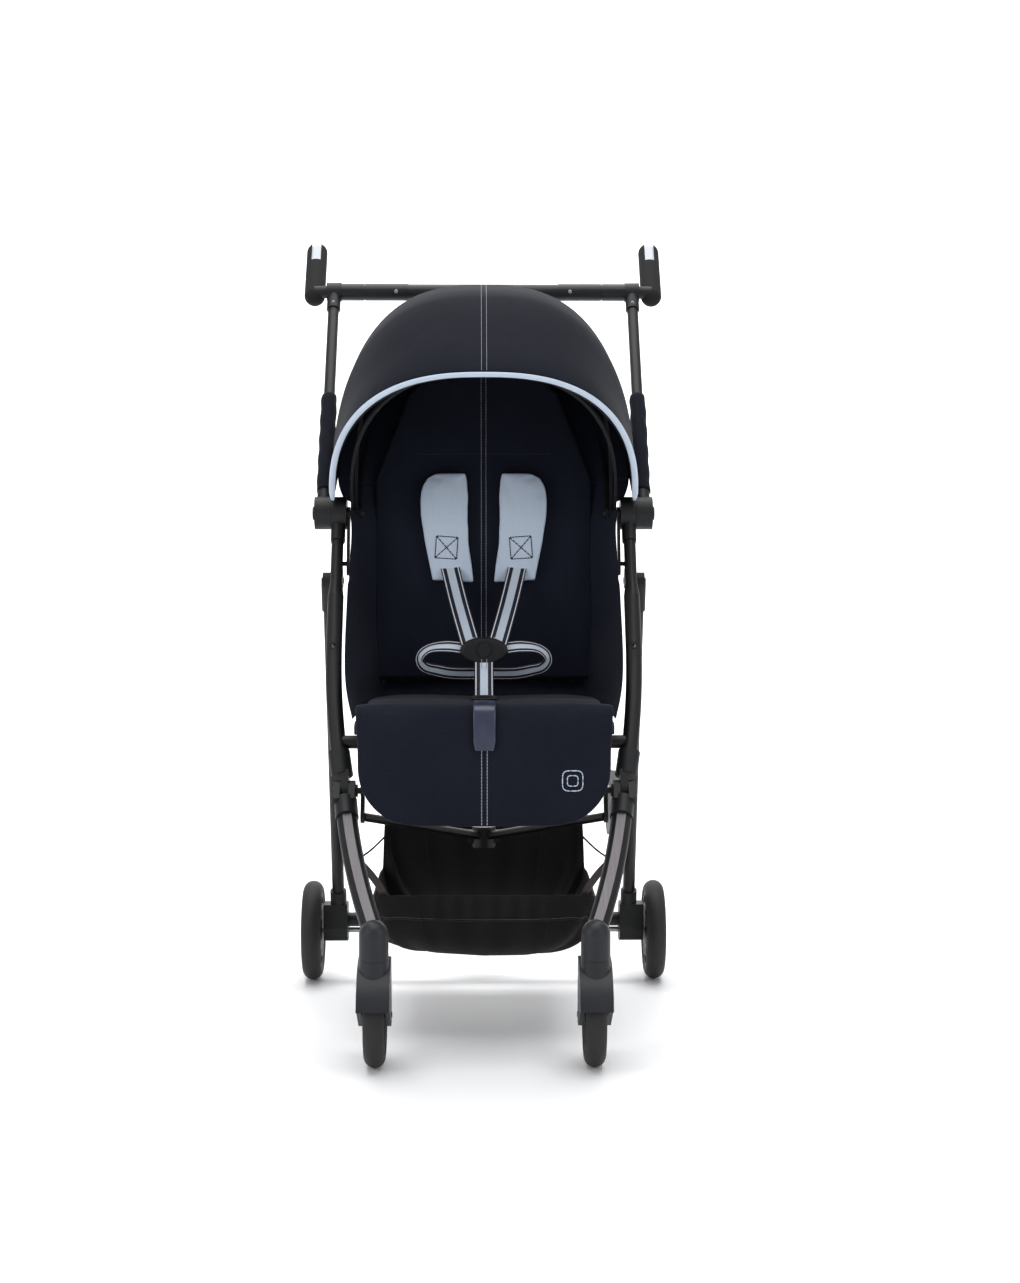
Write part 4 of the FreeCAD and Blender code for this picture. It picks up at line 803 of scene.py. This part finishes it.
# The cover's rear panel, stretched flat over the back of the board and seamed at mid height.
board_faces = surface_of(frame["nodes"]["backrest_board"])
BOARD_BACK = (onto(board_faces, RECLINE + UP * 0.2 - OUT * 0.2, OUT, 0) - RECLINE).dot(OUT)
PANEL_LOW, PANEL_HIGH = 0.014, 0.452


def rear_half(up):
    """Half the panel's width at a height up the board, which narrows to its top."""
    narrow = max(0, up - 0.300) / 0.162
    round_off = max(0, up - PANEL_HIGH + 0.02) / 0.02
    return 0.1445 - 0.050 * narrow - 0.012 * round_off ** 2


def rear_place(u, v):
    up = PANEL_LOW + (PANEL_HIGH - PANEL_LOW) * v
    puff = 2.0 * MM * abs(math.sin(math.pi * u)) ** 0.5 * abs(math.sin(2.6 * math.pi * v)) ** 0.5
    behind = BOARD_BACK - 1.0 * MM - puff - 0.4 * MM * math.sin(40 * u + 9 * v)
    return RECLINE + UP * up + OUT * behind + Vector(((2 * u - 1) * rear_half(up), 0, 0))


def turned_over(piece):
    """Turns a sheet's faces to look the other way."""
    select_only(piece)
    bpy.ops.object.mode_set(mode="EDIT")
    bpy.ops.mesh.select_all(action="SELECT")
    bpy.ops.mesh.flip_normals()
    bpy.ops.object.mode_set(mode="OBJECT")


panel_flat = cut_size(rear_place)
rear_panel = laid("backrest_rear_panel", 60, 90, rear_place, navy, panel_flat)
turned_over(rear_panel)
apply_modifier(rear_panel, "SOLIDIFY", thickness=0.8 * MM, offset=1)
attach(rear_panel, "backrest")

# ---- Seat base cover ---------------------------------------------------------------
# The same quilted cover over the seat board, with a seam down the middle and one across.
seat_low, seat_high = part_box("seat_pad")
CROSS_SEAM_Y = -0.085


def seat_held(spot, normal):
    if normal.z < 0.3:
        return 1.0
    near = min(abs(spot.x), abs(spot.y - CROSS_SEAM_Y))
    return 1.0 if near < SEAM_REACH else 0.0


base = copy_of("seat_pad", "seat_base_cover", INSET, (seat_low + seat_high) / 2)
remeshed(base, 5.0 * MM, base_cloth)
stuffed(base, seat_held, 3.0, 7 * MM)
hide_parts("seat_pad")
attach(base, "chassis")
base_faces = surface_of(base)

# ---- Leg rest cover ----------------------------------------------------------------
# A thinly padded navy panel that starts on the seat's front edge, rolls over it and hangs
# over the leg rest board, with a double seam down the middle and rounded lower corners.
rest_cloth = polyester("navy_leg_rest_cover", "#11131d", "#1c1f2d", THREAD, "Object", "Z")
LEGREST = joint_at("legrest_lift")
REST_HALF = 0.1585
REST_CORNER = 0.070
REST_LOW = 0.281
REST_FACE = -0.2165
REST_TOP = 0.4255
REST_THICK = 9 * MM
NOSE_R = 0.016
REST_BACK_EDGE = -0.158
REST_RUN = (REST_BACK_EDGE - REST_FACE - NOSE_R, NOSE_R * math.pi / 2, REST_TOP - NOSE_R - REST_LOW)


def rest_profile(share):
    """The panel's section: back to front over the seat, round the nose and down."""
    run = share * sum(REST_RUN)
    if run < REST_RUN[0]:
        return REST_BACK_EDGE - run, REST_TOP - 3 * MM * (1 - run / REST_RUN[0])
    run -= REST_RUN[0]
    if run < REST_RUN[1]:
        turn = run / NOSE_R
        return REST_FACE + NOSE_R - NOSE_R * math.sin(turn), REST_TOP - NOSE_R + NOSE_R * math.cos(turn)
    return REST_FACE, REST_TOP - NOSE_R - (run - REST_RUN[1])


def rest_half(z):
    """Half the panel's width, rounded off at its lower corners."""
    drop = max(REST_LOW + REST_CORNER - z, 0)
    return REST_HALF - REST_CORNER + math.sqrt(max(REST_CORNER ** 2 - drop ** 2, 0))


def rest_place(u, v):
    y, z = rest_profile(v)
    half = rest_half(z)
    if z < REST_TOP - 4 * MM:
        half -= 3.0 * MM * math.sin(math.pi * min((REST_TOP - z) / 0.14, 1))
    x = (2 * u - 1) * half
    sag = 4.0 * MM * (1 - (x / REST_HALF) ** 2)
    low = z - sag * max(0, 1 - (z - REST_LOW) / 0.1)
    return Vector((x, y, low))


rest = laid("leg_rest_cover", 64, 56, rest_place, rest_cloth)
apply_modifier(rest, "SOLIDIFY", thickness=REST_THICK, offset=1)


def rest_held(spot, normal):
    facing = max(-normal.y, normal.z)
    if facing < 0.35:
        return 1.0
    return 1.0 if abs(spot.x) < SEAM_REACH else 0.0


remeshed(rest, 4.5 * MM, rest_cloth)
stuffed(rest, rest_held, 3.0, 5 * MM)
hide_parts("legrest_pad")
rest_faces = surface_of(rest)


def with_rest(piece):
    """Bakes a leg rest piece's placement into its mesh."""
    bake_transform(piece)


with_rest(rest)


def on_rest(x, z, lift):
    return onto(rest_faces, (x, -0.30, z), (0, 1, 0), lift)


REST_ROW_LOW = 0.2785
REST_ROW = 0.138
for word, x in (("left", 3.4 * MM), ("right", -3.4 * MM)):
    def rest_row(u, x=x):
        return on_rest(x, REST_ROW_LOW + REST_ROW * u, 0.2 * MM)
    row = stitches("leg_rest_stitching_" + word, rest_row, REST_ROW, thread_grey, 0.7 * MM)
    with_rest(row)

# A small plain patch: two stitched rounded squares in pale thread.
PATCH_AT = (0.108, 0.334)
for word, half in (("outer", 0.0125), ("inner", 0.0065)):
    def patch_row(u, half=half):
        turn = 2 * math.pi * u
        wide = math.copysign(abs(math.cos(turn)) ** 0.5, math.cos(turn))
        high = math.copysign(abs(math.sin(turn)) ** 0.5, math.sin(turn))
        return on_rest(PATCH_AT[0] + half * wide, PATCH_AT[1] + half * high, 0.4 * MM)
    row = stitches("leg_rest_patch_" + word, patch_row, half * 7.2, binding_blue, 0.8 * MM)
    with_rest(row)

# ---- Shoulder pads -----------------------------------------------------------------
# Two pale blue padded sleeves round the shoulder straps: rounded at the outer top corner,
# narrower below, closed along the inner side and boxed with a navy cross stitch.
pad_cloth = polyester("pale_blue_shoulder_pad_cover", "#b9c8db", "#d3deeb", THREAD, "Object", "Z",
                      sheen=0.1, crease=1.0)
PAD_TOP = 0.717
PAD_LOW = 0.572
PAD_OUTER = ((0.0690, 0.0), (0.0715, 0.10), (0.0790, 0.35), (0.0845, 0.60), (0.0855, 0.72),
             (0.0850, 0.80), (0.0825, 0.88), (0.0770, 0.95), (0.0680, 0.99), (0.0600, 1.0))
PAD_INNER = ((0.0135, 0.0), (0.0160, 0.15), (0.0205, 0.35), (0.0215, 0.60), (0.0210, 0.80),
             (0.0225, 0.93), (0.0250, 1.0))
PAD_OUT = 0.034        # the pads lie this far in front of the recline pivot
BOX_AT = (0.050, 0.609)
BOX_HALF = 0.0145
BOX_TILT = 0.07


def along(points, share):
    """An outline's x at a share of the pad's height."""
    for (low_x, low), (high_x, high) in zip(points, points[1:]):
        if share <= high:
            t = (share - low) / (high - low)
            return low_x + (high_x - low_x) * t
    return points[-1][0]


def pad_place(side):
    """One side's pad as a sheet, lower edge at v = 0."""
    def place(u, v):
        outer, inner = along(PAD_OUTER, v), along(PAD_INNER, v)
        x = inner + (outer - inner) * u
        z = PAD_LOW + (PAD_TOP - PAD_LOW) * v + 3.0 * MM * (u - 0.5) * (1 - v)
        up = (z - RECLINE.z) / math.cos(BACK_LEAN)
        spot = RECLINE + UP * up + OUT * (PAD_OUT + 3 * MM * math.sin(math.pi * v))
        return Vector((x * side, spot.y, z))
    return place


for word, side in SIDES:
    pad = laid("shoulder_pad_" + word, 28, 60, pad_place(side), pad_cloth)
    if side < 0:
        turned_over(pad)
    apply_modifier(pad, "SOLIDIFY", thickness=7 * MM, offset=0)
    remeshed(pad, 4.0 * MM, pad_cloth)

    def pad_held(spot, normal):
        return 1.0 if normal.dot(OUT) < -0.5 else 0.0
    stuffed(pad, pad_held, 3.5, 5 * MM)
    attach(pad, "backrest")
    if side < 0:
        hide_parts("shoulder_pads")
    pad_faces = surface_of(pad)

    def on_pad(x, z, lift, pad_faces=pad_faces):
        up = (z - RECLINE.z) / math.cos(BACK_LEAN)
        spot = RECLINE + UP * up + OUT * 0.2
        return onto(pad_faces, (x, spot.y, spot.z), -OUT, lift)
    centre = Vector((BOX_AT[0] * side, BOX_AT[1]))
    across = Vector((math.cos(BOX_TILT * side), math.sin(BOX_TILT * side))) * BOX_HALF
    up = across.orthogonal()
    corners = [centre + across * h + up * k for h, k in ((-1, -1), (1, -1), (1, 1), (-1, 1))]
    for number, (first, last) in enumerate(((0, 1), (1, 2), (2, 3), (3, 0), (0, 2), (1, 3))):
        def box_row(u, first=corners[first], last=corners[last], on_pad=on_pad):
            x, z = first.lerp(last, u)
            return on_pad(x, z, 0.25 * MM)
        row = stitches(f"pad_box_{word}_{number}", box_row, 0.03, thread_dark, 0.8 * MM)
        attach(row, "backrest")

# ---- Harness webbing ---------------------------------------------------------------
# Woven polyester tape 25 mm wide: a pale blue band between two navy ones, with a white
# line near each edge and a fine ribbed weave.
tape, tree, shader = new_material("striped_polyester_webbing", Roughness=0.6, IOR=1.48, Sheen_Weight=0.1)
where = add(tree, "ShaderNodeTexCoord").outputs["UV"]
parts = add(tree, "ShaderNodeSeparateXYZ", {"Vector": where})
ramp = add(tree, "ShaderNodeValToRGB", {"Fac": parts.outputs["Y"]})
ramp.color_ramp.interpolation = "CONSTANT"
TAPE_NAVY, TAPE_PALE, TAPE_WHITE = "#12172a", "#cdd8e6", "#f2f4f9"
BANDS = ((0.0, TAPE_NAVY), (0.06, TAPE_WHITE), (0.11, TAPE_NAVY), (0.3, TAPE_PALE), (0.7, TAPE_NAVY),
         (0.89, TAPE_WHITE), (0.94, TAPE_NAVY))
ramp.color_ramp.elements[0].color = linear(BANDS[0][1])
ramp.color_ramp.elements[1].position = BANDS[1][0]
ramp.color_ramp.elements[1].color = linear(BANDS[1][1])
for spot, code in BANDS[2:]:
    ramp.color_ramp.elements.new(spot).color = linear(code)
tree.links.new(ramp.outputs["Color"], shader.inputs["Base Color"])
RIB = 1.5 * MM
rib = add(tree, "ShaderNodeMapping", {"Vector": where, "Scale": (WAVE / RIB, 0.4, 1.0)})
ribs = add(tree, "ShaderNodeTexWave", {"Vector": rib.outputs["Vector"], "Scale": 1.0},
           bands_direction="X")
bump = add(tree, "ShaderNodeBump",
           {"Height": ribs.outputs["Fac"], "Strength": 0.35, "Distance": 0.0003})
tree.links.new(bump.outputs["Normal"], shader.inputs["Normal"])
TAPE_WIDE = 25 * MM
WAIST_WIDE = 19 * MM
TAPE_THICK = 1.6 * MM


def strap(name, spots, faces, steps, wide=TAPE_WIDE, made=tape):
    """Webbing along a smooth line of spots. faces are the ways its front looks at them."""
    length = sum((Vector(b) - Vector(a)).length for a, b in zip(spots, spots[1:]))

    def place(u, v):
        here = through(spots, u)
        ahead = (through(spots, min(u + 0.01, 1)) - through(spots, max(u - 0.01, 0))).normalized()
        face = through(faces, u).normalized()
        across = ahead.cross(face).normalized()
        return here + across * (v - 0.5) * wide
    piece = laid(name, steps, 8, place, made, (length, 1.0))
    apply_modifier(piece, "SOLIDIFY", thickness=TAPE_THICK, offset=0)
    return piece


for word, side in SIDES:
    top = RECLINE + UP * 0.180 + OUT * PAD_OUT + Vector((0.0465 * side, 0, 0))
    low = Vector((0.0195 * side, -0.044, 0.499))
    shoulder = strap("shoulder_strap_" + word,
                     (top, mirrored(Vector((0.0335, 0.008, 0.545)), side), low,
                      low + Vector((-0.003 * side, -0.006, -0.008))),
                     ((0, -1, 0.3), (0, -1, 0.5), (0, -1, 0.6), (0, -1, 0.6)), 40)
    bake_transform(shoulder)
    # Out of the buckle, round in a loose loop and back beneath it.
    spots = [mirrored(Vector(spot), side) for spot in (
        (0.026, -0.050, 0.487), (0.048, -0.052, 0.4895), (0.070, -0.046, 0.4865), (0.0825, -0.036, 0.475),
        (0.077, -0.030, 0.462), (0.060, -0.032, 0.457), (0.040, -0.030, 0.4535), (0.012, -0.026, 0.453))]
    faces = [(x * side, y, z) for x, y, z in (
        (0, -0.75, 0.66), (0, -0.7, 0.7), (0.2, -0.6, 0.75), (0.75, -0.6, 0.2),
        (0.25, -0.75, -0.55), (0, -0.8, -0.55), (0, -0.8, -0.5), (0, -0.8, -0.5))]
    loop = strap("waist_strap_" + word, spots, faces, 90, WAIST_WIDE)
    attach(loop, "chassis")
crotch = strap("crotch_webbing",
               ((0, -0.058, 0.478), (0, -0.066, 0.455), (0, -0.084, 0.436), (0, -0.118, 0.424)),
               ((0, -1, 0.3), (0, -1, 0.45), (0, -0.8, 0.8), (0, -0.6, 1)), 40)
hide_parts("crotch_strap")
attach(crotch, "chassis")

# ---- Crotch strap cover ------------------------------------------------------------
# A glossy navy coated tab sewn over the leg rest's top edge, with a moulded ring behind it
# where the crotch strap goes into the seat.
coated, tree, shader = new_material("navy_coated_fabric_tab", Roughness=0.32, IOR=1.5, Coat_Weight=0.2)
place = add(tree, "ShaderNodeTexCoord").outputs["Object"]
cloud = add(tree, "ShaderNodeTexNoise", {"Vector": place, "Scale": 40.0, "Detail": 3.0})
tone = add(tree, "ShaderNodeMix", {"Factor": cloud.outputs["Fac"]}, data_type="RGBA")
tone.inputs["A"].default_value = linear("#20263a")
tone.inputs["B"].default_value = linear("#343b52")
tree.links.new(tone.outputs["Result"], shader.inputs["Base Color"])
bump = add(tree, "ShaderNodeBump", {"Height": cloud.outputs["Fac"], "Strength": 0.3, "Distance": 0.001})
tree.links.new(bump.outputs["Normal"], shader.inputs["Normal"])
TAB_HALF = 0.0135


def tab_place(u, v):
    """The tab over the leg rest's nose, slightly narrower at its lower end."""
    x = (2 * u - 1) * TAB_HALF * (1 - 0.18 * max(0, v - 0.85) / 0.15)
    y, z = rest_profile(0.13 + 0.41 * v)
    if y > REST_FACE + NOSE_R:
        away = Vector((0, 0, 1))
    elif z < REST_TOP - NOSE_R:
        away = Vector((0, -1, 0))
    else:
        away = Vector((0, y - REST_FACE - NOSE_R, z - REST_TOP + NOSE_R)).normalized()
    lift = 2.6 * MM + 0.8 * MM * math.cos((2 * u - 1) * 1.5)
    return onto(rest_faces, Vector((x, y, z)) + away * 0.05, -away, lift)


tab = laid("crotch_tab", 16, 60, tab_place, coated, (0.027, 0.09))
apply_modifier(tab, "SOLIDIFY", thickness=2.2 * MM, offset=-1)
with_rest(tab)


SLOT_HALF = (17 * MM, 6 * MM)
SLOT_Y = -0.150
SLOT_RING_R = 2.0 * MM


def slot_place(u, v):
    """The ring: u runs round the slot and v round the ring's own section."""
    turn, roll = 2 * math.pi * u, 2 * math.pi * v
    middle = Vector((SLOT_HALF[0] * math.cos(turn), SLOT_Y + SLOT_HALF[1] * math.sin(turn),
                     REST_TOP + 5.0 * MM + 1.2 * MM * math.sin(turn)))
    side = Vector((math.cos(turn), math.sin(turn), 0))
    return middle + (side * math.cos(roll) + Vector((0, 0, 1)) * math.sin(roll)) * SLOT_RING_R


slot_ring = laid("crotch_slot", 64, 8, slot_place, moulded)
apply_modifier(slot_ring, "WELD", merge_threshold=CLOSE)
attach(slot_ring, "chassis")

# ---- Care tag ----------------------------------------------------------------------
# A blank white woven tag that hangs from the seat frame beside the leg rest.
tag_cloth, tree, shader = new_material("white_woven_tag", Roughness=0.7, IOR=1.45)
place = add(tree, "ShaderNodeTexCoord").outputs["UV"]
ribs = add(tree, "ShaderNodeTexWave", {"Vector": place, "Scale": WAVE / RIB}, bands_direction="Y")
tone = add(tree, "ShaderNodeMix", {"Factor": ribs.outputs["Fac"]}, data_type="RGBA")
tone.inputs["A"].default_value = linear("#d3d3d5")
tone.inputs["B"].default_value = linear("#e6e6e8")
tree.links.new(tone.outputs["Result"], shader.inputs["Base Color"])


def tag_place(u, v):
    """The tag, hung from its upper edge and a little curled."""
    return Vector((0.1575 + 0.013 * u + 0.002 * math.sin(6 * v),
                   -0.100 - 0.010 * u + 0.004 * math.sin(5 * v), 0.334 - 0.082 * v))


tag = laid("blank_tag", 8, 30, tag_place, tag_cloth, (0.018, 0.082))
apply_modifier(tag, "SOLIDIFY", thickness=0.6 * MM, offset=0)
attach(tag, "chassis")

# ---- Shopping basket ---------------------------------------------------------------
# A soft bowl of dark polyester hung by its corners: a deep doubled hem across the front,
# low scooped sides and a tall back wall. Its belly hangs a little lower right of centre.
basket_cloth = polyester("brown_black_basket_polyester", "#141212", "#201e1e", THREAD, sheen=0.04,
                         crease=0.6)
BASKET_HALF = 0.142
BASKET_FRONT = -0.203
BASKET_BACK = 0.186
BELLY = 0.093
FRONT_RIM = 0.190
SIDE_RIM = 0.166
BACK_RIM = 0.236
WALL_ROUND = 2 / 2.6   # how the walls turn into the floor


def rim_height(turn):
    """The rim's height round the basket: turn 0 is the left, a quarter turn the back."""
    back, across = math.sin(turn), abs(math.cos(turn))
    if back < 0:
        return SIDE_RIM + (FRONT_RIM - SIDE_RIM) * min(1, -back * 1.15) ** 0.8
    near = min(1, max(0, (back - 0.42) / 0.20))
    return SIDE_RIM + (BACK_RIM - SIDE_RIM) * near * near * (3 - 2 * near)


def basket_plan(turn):
    """The rim seen from above: a rectangle with small rounded corners."""
    wide = math.copysign(abs(math.cos(turn)) ** (2 / 12), math.cos(turn))
    deep = math.copysign(abs(math.sin(turn)) ** (2 / 12), math.sin(turn))
    middle = (BASKET_FRONT + BASKET_BACK) / 2
    return Vector((BASKET_HALF * wide, middle + (BASKET_BACK - BASKET_FRONT) / 2 * deep, 0))


def basket_place(u, v, out=0.0):
    """The bowl: u runs round it, v from its rim to the middle of its floor, out is off its face."""
    turn = 2 * math.pi * u
    plan = basket_plan(turn)
    middle = Vector((0, (BASKET_FRONT + BASKET_BACK) / 2, 0))
    slope = math.pi / 2 * v
    reach = math.cos(slope) ** (2 / 3.4)
    top = rim_height(turn)
    floor = BELLY + 0.010 * abs(plan.x * reach - 0.02) / BASKET_HALF
    z = top + (floor - top) * math.sin(slope) ** WALL_ROUND
    pull = 4.0 * MM * math.sin(9 * turn + 5 * v) * math.sin(math.pi * v) * min(1, v * 4)
    spot = middle + (plan - middle) * reach
    away = (plan - middle).normalized()
    spot += away * (pull + out - 3.0 * MM * math.sin(math.pi * min(1, v * 2.2)) * (1 - v))
    return Vector((spot.x, spot.y, z))


BASKET_FLAT = (0.49, 0.62)
basket = laid("shopping_basket", 200, 56, basket_place, basket_cloth, BASKET_FLAT)
apply_modifier(basket, "WELD", merge_threshold=CLOSE)
apply_modifier(basket, "SOLIDIFY", thickness=1.4 * MM, offset=-1)
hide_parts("basket")


def with_basket(piece):
    """Attaches a basket piece to the chassis, with a mesh of its own."""
    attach(piece, "chassis")
    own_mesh(piece)


with_basket(basket)

# The doubled hem: a deep band across the front that narrows along the sides.
HEM_NARROW = 0.012
HEM_DEEPER = 0.022


def hem_place(u, v):
    turn = 2 * math.pi * u
    depth = HEM_NARROW + HEM_DEEPER * min(1, max(0, -math.sin(turn)) * 1.6)
    drop = v * depth / (rim_height(turn) - BELLY)
    slope = math.asin(min(1, drop ** (1 / WALL_ROUND)))
    spot = basket_place(u, slope / (math.pi / 2), 1.6 * MM + 0.9 * MM * math.sin(math.pi * v))
    spot.z += 0.6 * MM * math.sin(17 * turn)
    return spot


hem = laid("basket_hem", 200, 10, hem_place, basket_cloth, (1.1, 0.034))
apply_modifier(hem, "WELD", merge_threshold=CLOSE)
apply_modifier(hem, "SOLIDIFY", thickness=2.0 * MM, offset=0)
with_basket(hem)


def hem_row(u):
    turn = 2 * math.pi * u
    spot = hem_place(u, 0.9)
    return spot + Vector((math.cos(turn), math.sin(turn), 0)) * 1.4 * MM


thread_brown = thread("dark_basket_thread", "#3a3735")
hem_stitches = stitches("basket_hem_stitching", hem_row, 1.1, thread_brown, 0.5 * MM)
with_basket(hem_stitches)

# ---- Basket straps -----------------------------------------------------------------
# Grey-brown webbing tabs from the basket's front corners, loops round the rear tube and
# thin elastic cords from the back wall to the frame brackets.
brown_tape = polyester("grey_brown_webbing", "#3a3634", "#4a4643", 1.5 * MM, sheen=0.1, crease=0.1)
elastic = grained("black_braided_elastic", "#1c1b1a", "#2c2a29", 0.65, 1.0 * MM)
rear_tube_low, rear_tube_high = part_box("rear_cross_tube")
TUBE_Y = (rear_tube_low.y + rear_tube_high.y) / 2
TUBE_Z = (rear_tube_low.z + rear_tube_high.z) / 2
LOOP_R = (rear_tube_high.z - rear_tube_low.z) / 2 + 1.4 * MM
CORD_START = Vector((0.1385, 0.174, 0.210))
CORD_END = Vector((0.1860, 0.184, 0.172))
CORD_R = 1.4 * MM
for word, side in SIDES:
    spots = [mirrored(Vector(spot), side) for spot in (
        (0.123, -0.190, 0.184), (0.128, -0.202, 0.199), (0.140, -0.219, 0.220), (0.153, -0.234, 0.237))]
    tab_strap = strap("basket_tab_" + word, spots, ((0.3 * side, -1, 0.5),) * 4, 16, 9 * MM, brown_tape)
    with_basket(tab_strap)
    for rank, x in enumerate((0.085, 0.105)):
        spots = [Vector((x * side, 0.1805, 0.172)), Vector((x * side, 0.1820, 0.150))]
        tube = Vector((x * side, TUBE_Y, TUBE_Z))
        for step in range(9):
            turn = math.radians(150 - 37.5 * step)
            spots.append(tube + Vector((0, math.cos(turn), math.sin(turn))) * LOOP_R)
        faces = [(0, 1, 0)] * 2 + [spot - tube for spot in spots[2:]]
        tube_loop = strap(f"basket_loop_{word}_{rank}", spots, faces, 60, 14 * MM, brown_tape)
        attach(tube_loop, "rear_legs")

    def cord_place(u, v, side=side):
        start = mirrored(CORD_START, side)
        stop = mirrored(CORD_END, side)
        ahead = (stop - start).normalized()
        over = ahead.cross(Vector((0, 0, 1))).normalized()
        turn = 2 * math.pi * v
        ring = over * math.cos(turn) + over.cross(ahead) * math.sin(turn)
        sag = Vector((0, 0, -4 * MM)) * math.sin(math.pi * u)
        return start.lerp(stop, u) + sag + ring * CORD_R
    cord = laid("basket_elastic_" + word, 24, 8, cord_place, elastic, (0.06, 0.01))
    apply_modifier(cord, "WELD", merge_threshold=CLOSE)
    with_basket(cord)

# ---- Handle sleeves ----------------------------------------------------------------
# Navy cloth sleeves sewn from the hood's rear corners, gathered round each handle tube.
SLEEVE_LOW = 0.692
SLEEVE_HIGH = 0.826
HANDLE_X = 0.2145
HANDLE_LEAN = math.radians(36.4)
SLEEVE_R = 9.9 * MM
SLEEVE_FLAT = (0.062, 0.166)
handle_way = Vector((0, math.sin(HANDLE_LEAN), math.cos(HANDLE_LEAN)))
for word, side in SIDES:
    def sleeve_place(u, v, side=side):
        height = (SLEEVE_LOW + (SLEEVE_HIGH - SLEEVE_LOW) * v - HINGE.z) / handle_way.z
        middle = HINGE + Vector((HANDLE_X * side, 0, 0)) + handle_way * height
        turn = 2 * math.pi * u
        close = 1 - 0.12 * (max(0, v - 0.94) / 0.06) ** 2
        reach = SLEEVE_R * close + 0.5 * MM * math.sin(30 * v + 2 * math.cos(turn)) * math.cos(turn) ** 2
        flank = Vector((1, 0, 0)) * math.cos(turn) + handle_way.cross(Vector((1, 0, 0))) * math.sin(turn)
        return middle + flank * reach
    sleeve = laid("handle_sleeve_" + word, 28, 60, sleeve_place, navy, SLEEVE_FLAT)
    apply_modifier(sleeve, "WELD", merge_threshold=CLOSE)
    apply_modifier(sleeve, "SOLIDIFY", thickness=1.2 * MM, offset=1)
    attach(sleeve, "handle")

# ---- Screws ------------------------------------------------------------------------
# Zinc-plated button-head screws in the crossbar and its tees, with a socket sunk in each
# head.


def button_head(name, place, way, radius, body):
    """A turned domed head with a socket sunk in it, its flat side on the part."""
    bpy.ops.object.select_all(action="DESELECT")
    bpy.ops.mesh.primitive_circle_add(vertices=24, radius=radius, fill_type="NGON")
    piece = bpy.context.object
    piece.name = name
    bpy.ops.object.mode_set(mode="EDIT")
    bpy.ops.mesh.select_all(action="SELECT")
    for rise, share in ((0.22, 1.0), (0.2, 0.86), (0.1, 0.74)):
        bpy.ops.mesh.extrude_region_move(TRANSFORM_OT_translate={"value": (0, 0, radius * rise)})
        bpy.ops.transform.resize(value=(share, share, 1))
    bpy.ops.mesh.inset(thickness=radius * 0.24)
    bpy.ops.mesh.extrude_region_move(TRANSFORM_OT_translate={"value": (0, 0, -radius * 0.34)})
    bpy.ops.object.mode_set(mode="OBJECT")
    turn = Vector(way).to_track_quat("Z", "Y").to_matrix()
    for corner in piece.data.vertices:
        corner.co = turn @ corner.co + Vector(place)
    piece.data.materials.append(zinc)
    select_only(piece)
    bpy.ops.object.mode_set(mode="EDIT")
    bpy.ops.mesh.select_all(action="SELECT")
    bpy.ops.mesh.normals_make_consistent(inside=False)
    bpy.ops.object.mode_set(mode="OBJECT")
    bpy.ops.object.shade_smooth_by_angle(angle=math.radians(35))
    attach(piece, body)


def face_spot(node, start, way):
    """Where a line first meets a CAD node."""
    faces = surface_of(frame["nodes"][node])
    found, *_ = faces.ray_cast(Vector(start), Vector(way).normalized())
    return found


SCREWS = (("crossbar_screw", "crossbar", 0.125, 0.983, 2.6, "handle"),
          ("tee_screw", "tees", 0.2145, 0.966, 2.4, "handle"))
for name, node, x, z, radius, body in SCREWS:
    for word, side in SIDES:
        spot = face_spot(node, (x * side, -0.2, z), (0, 1, 0)) + Vector((0, 0.3 * MM, 0))
        button_head(name + "_" + word, spot, (0, -1, 0), radius * MM, body)
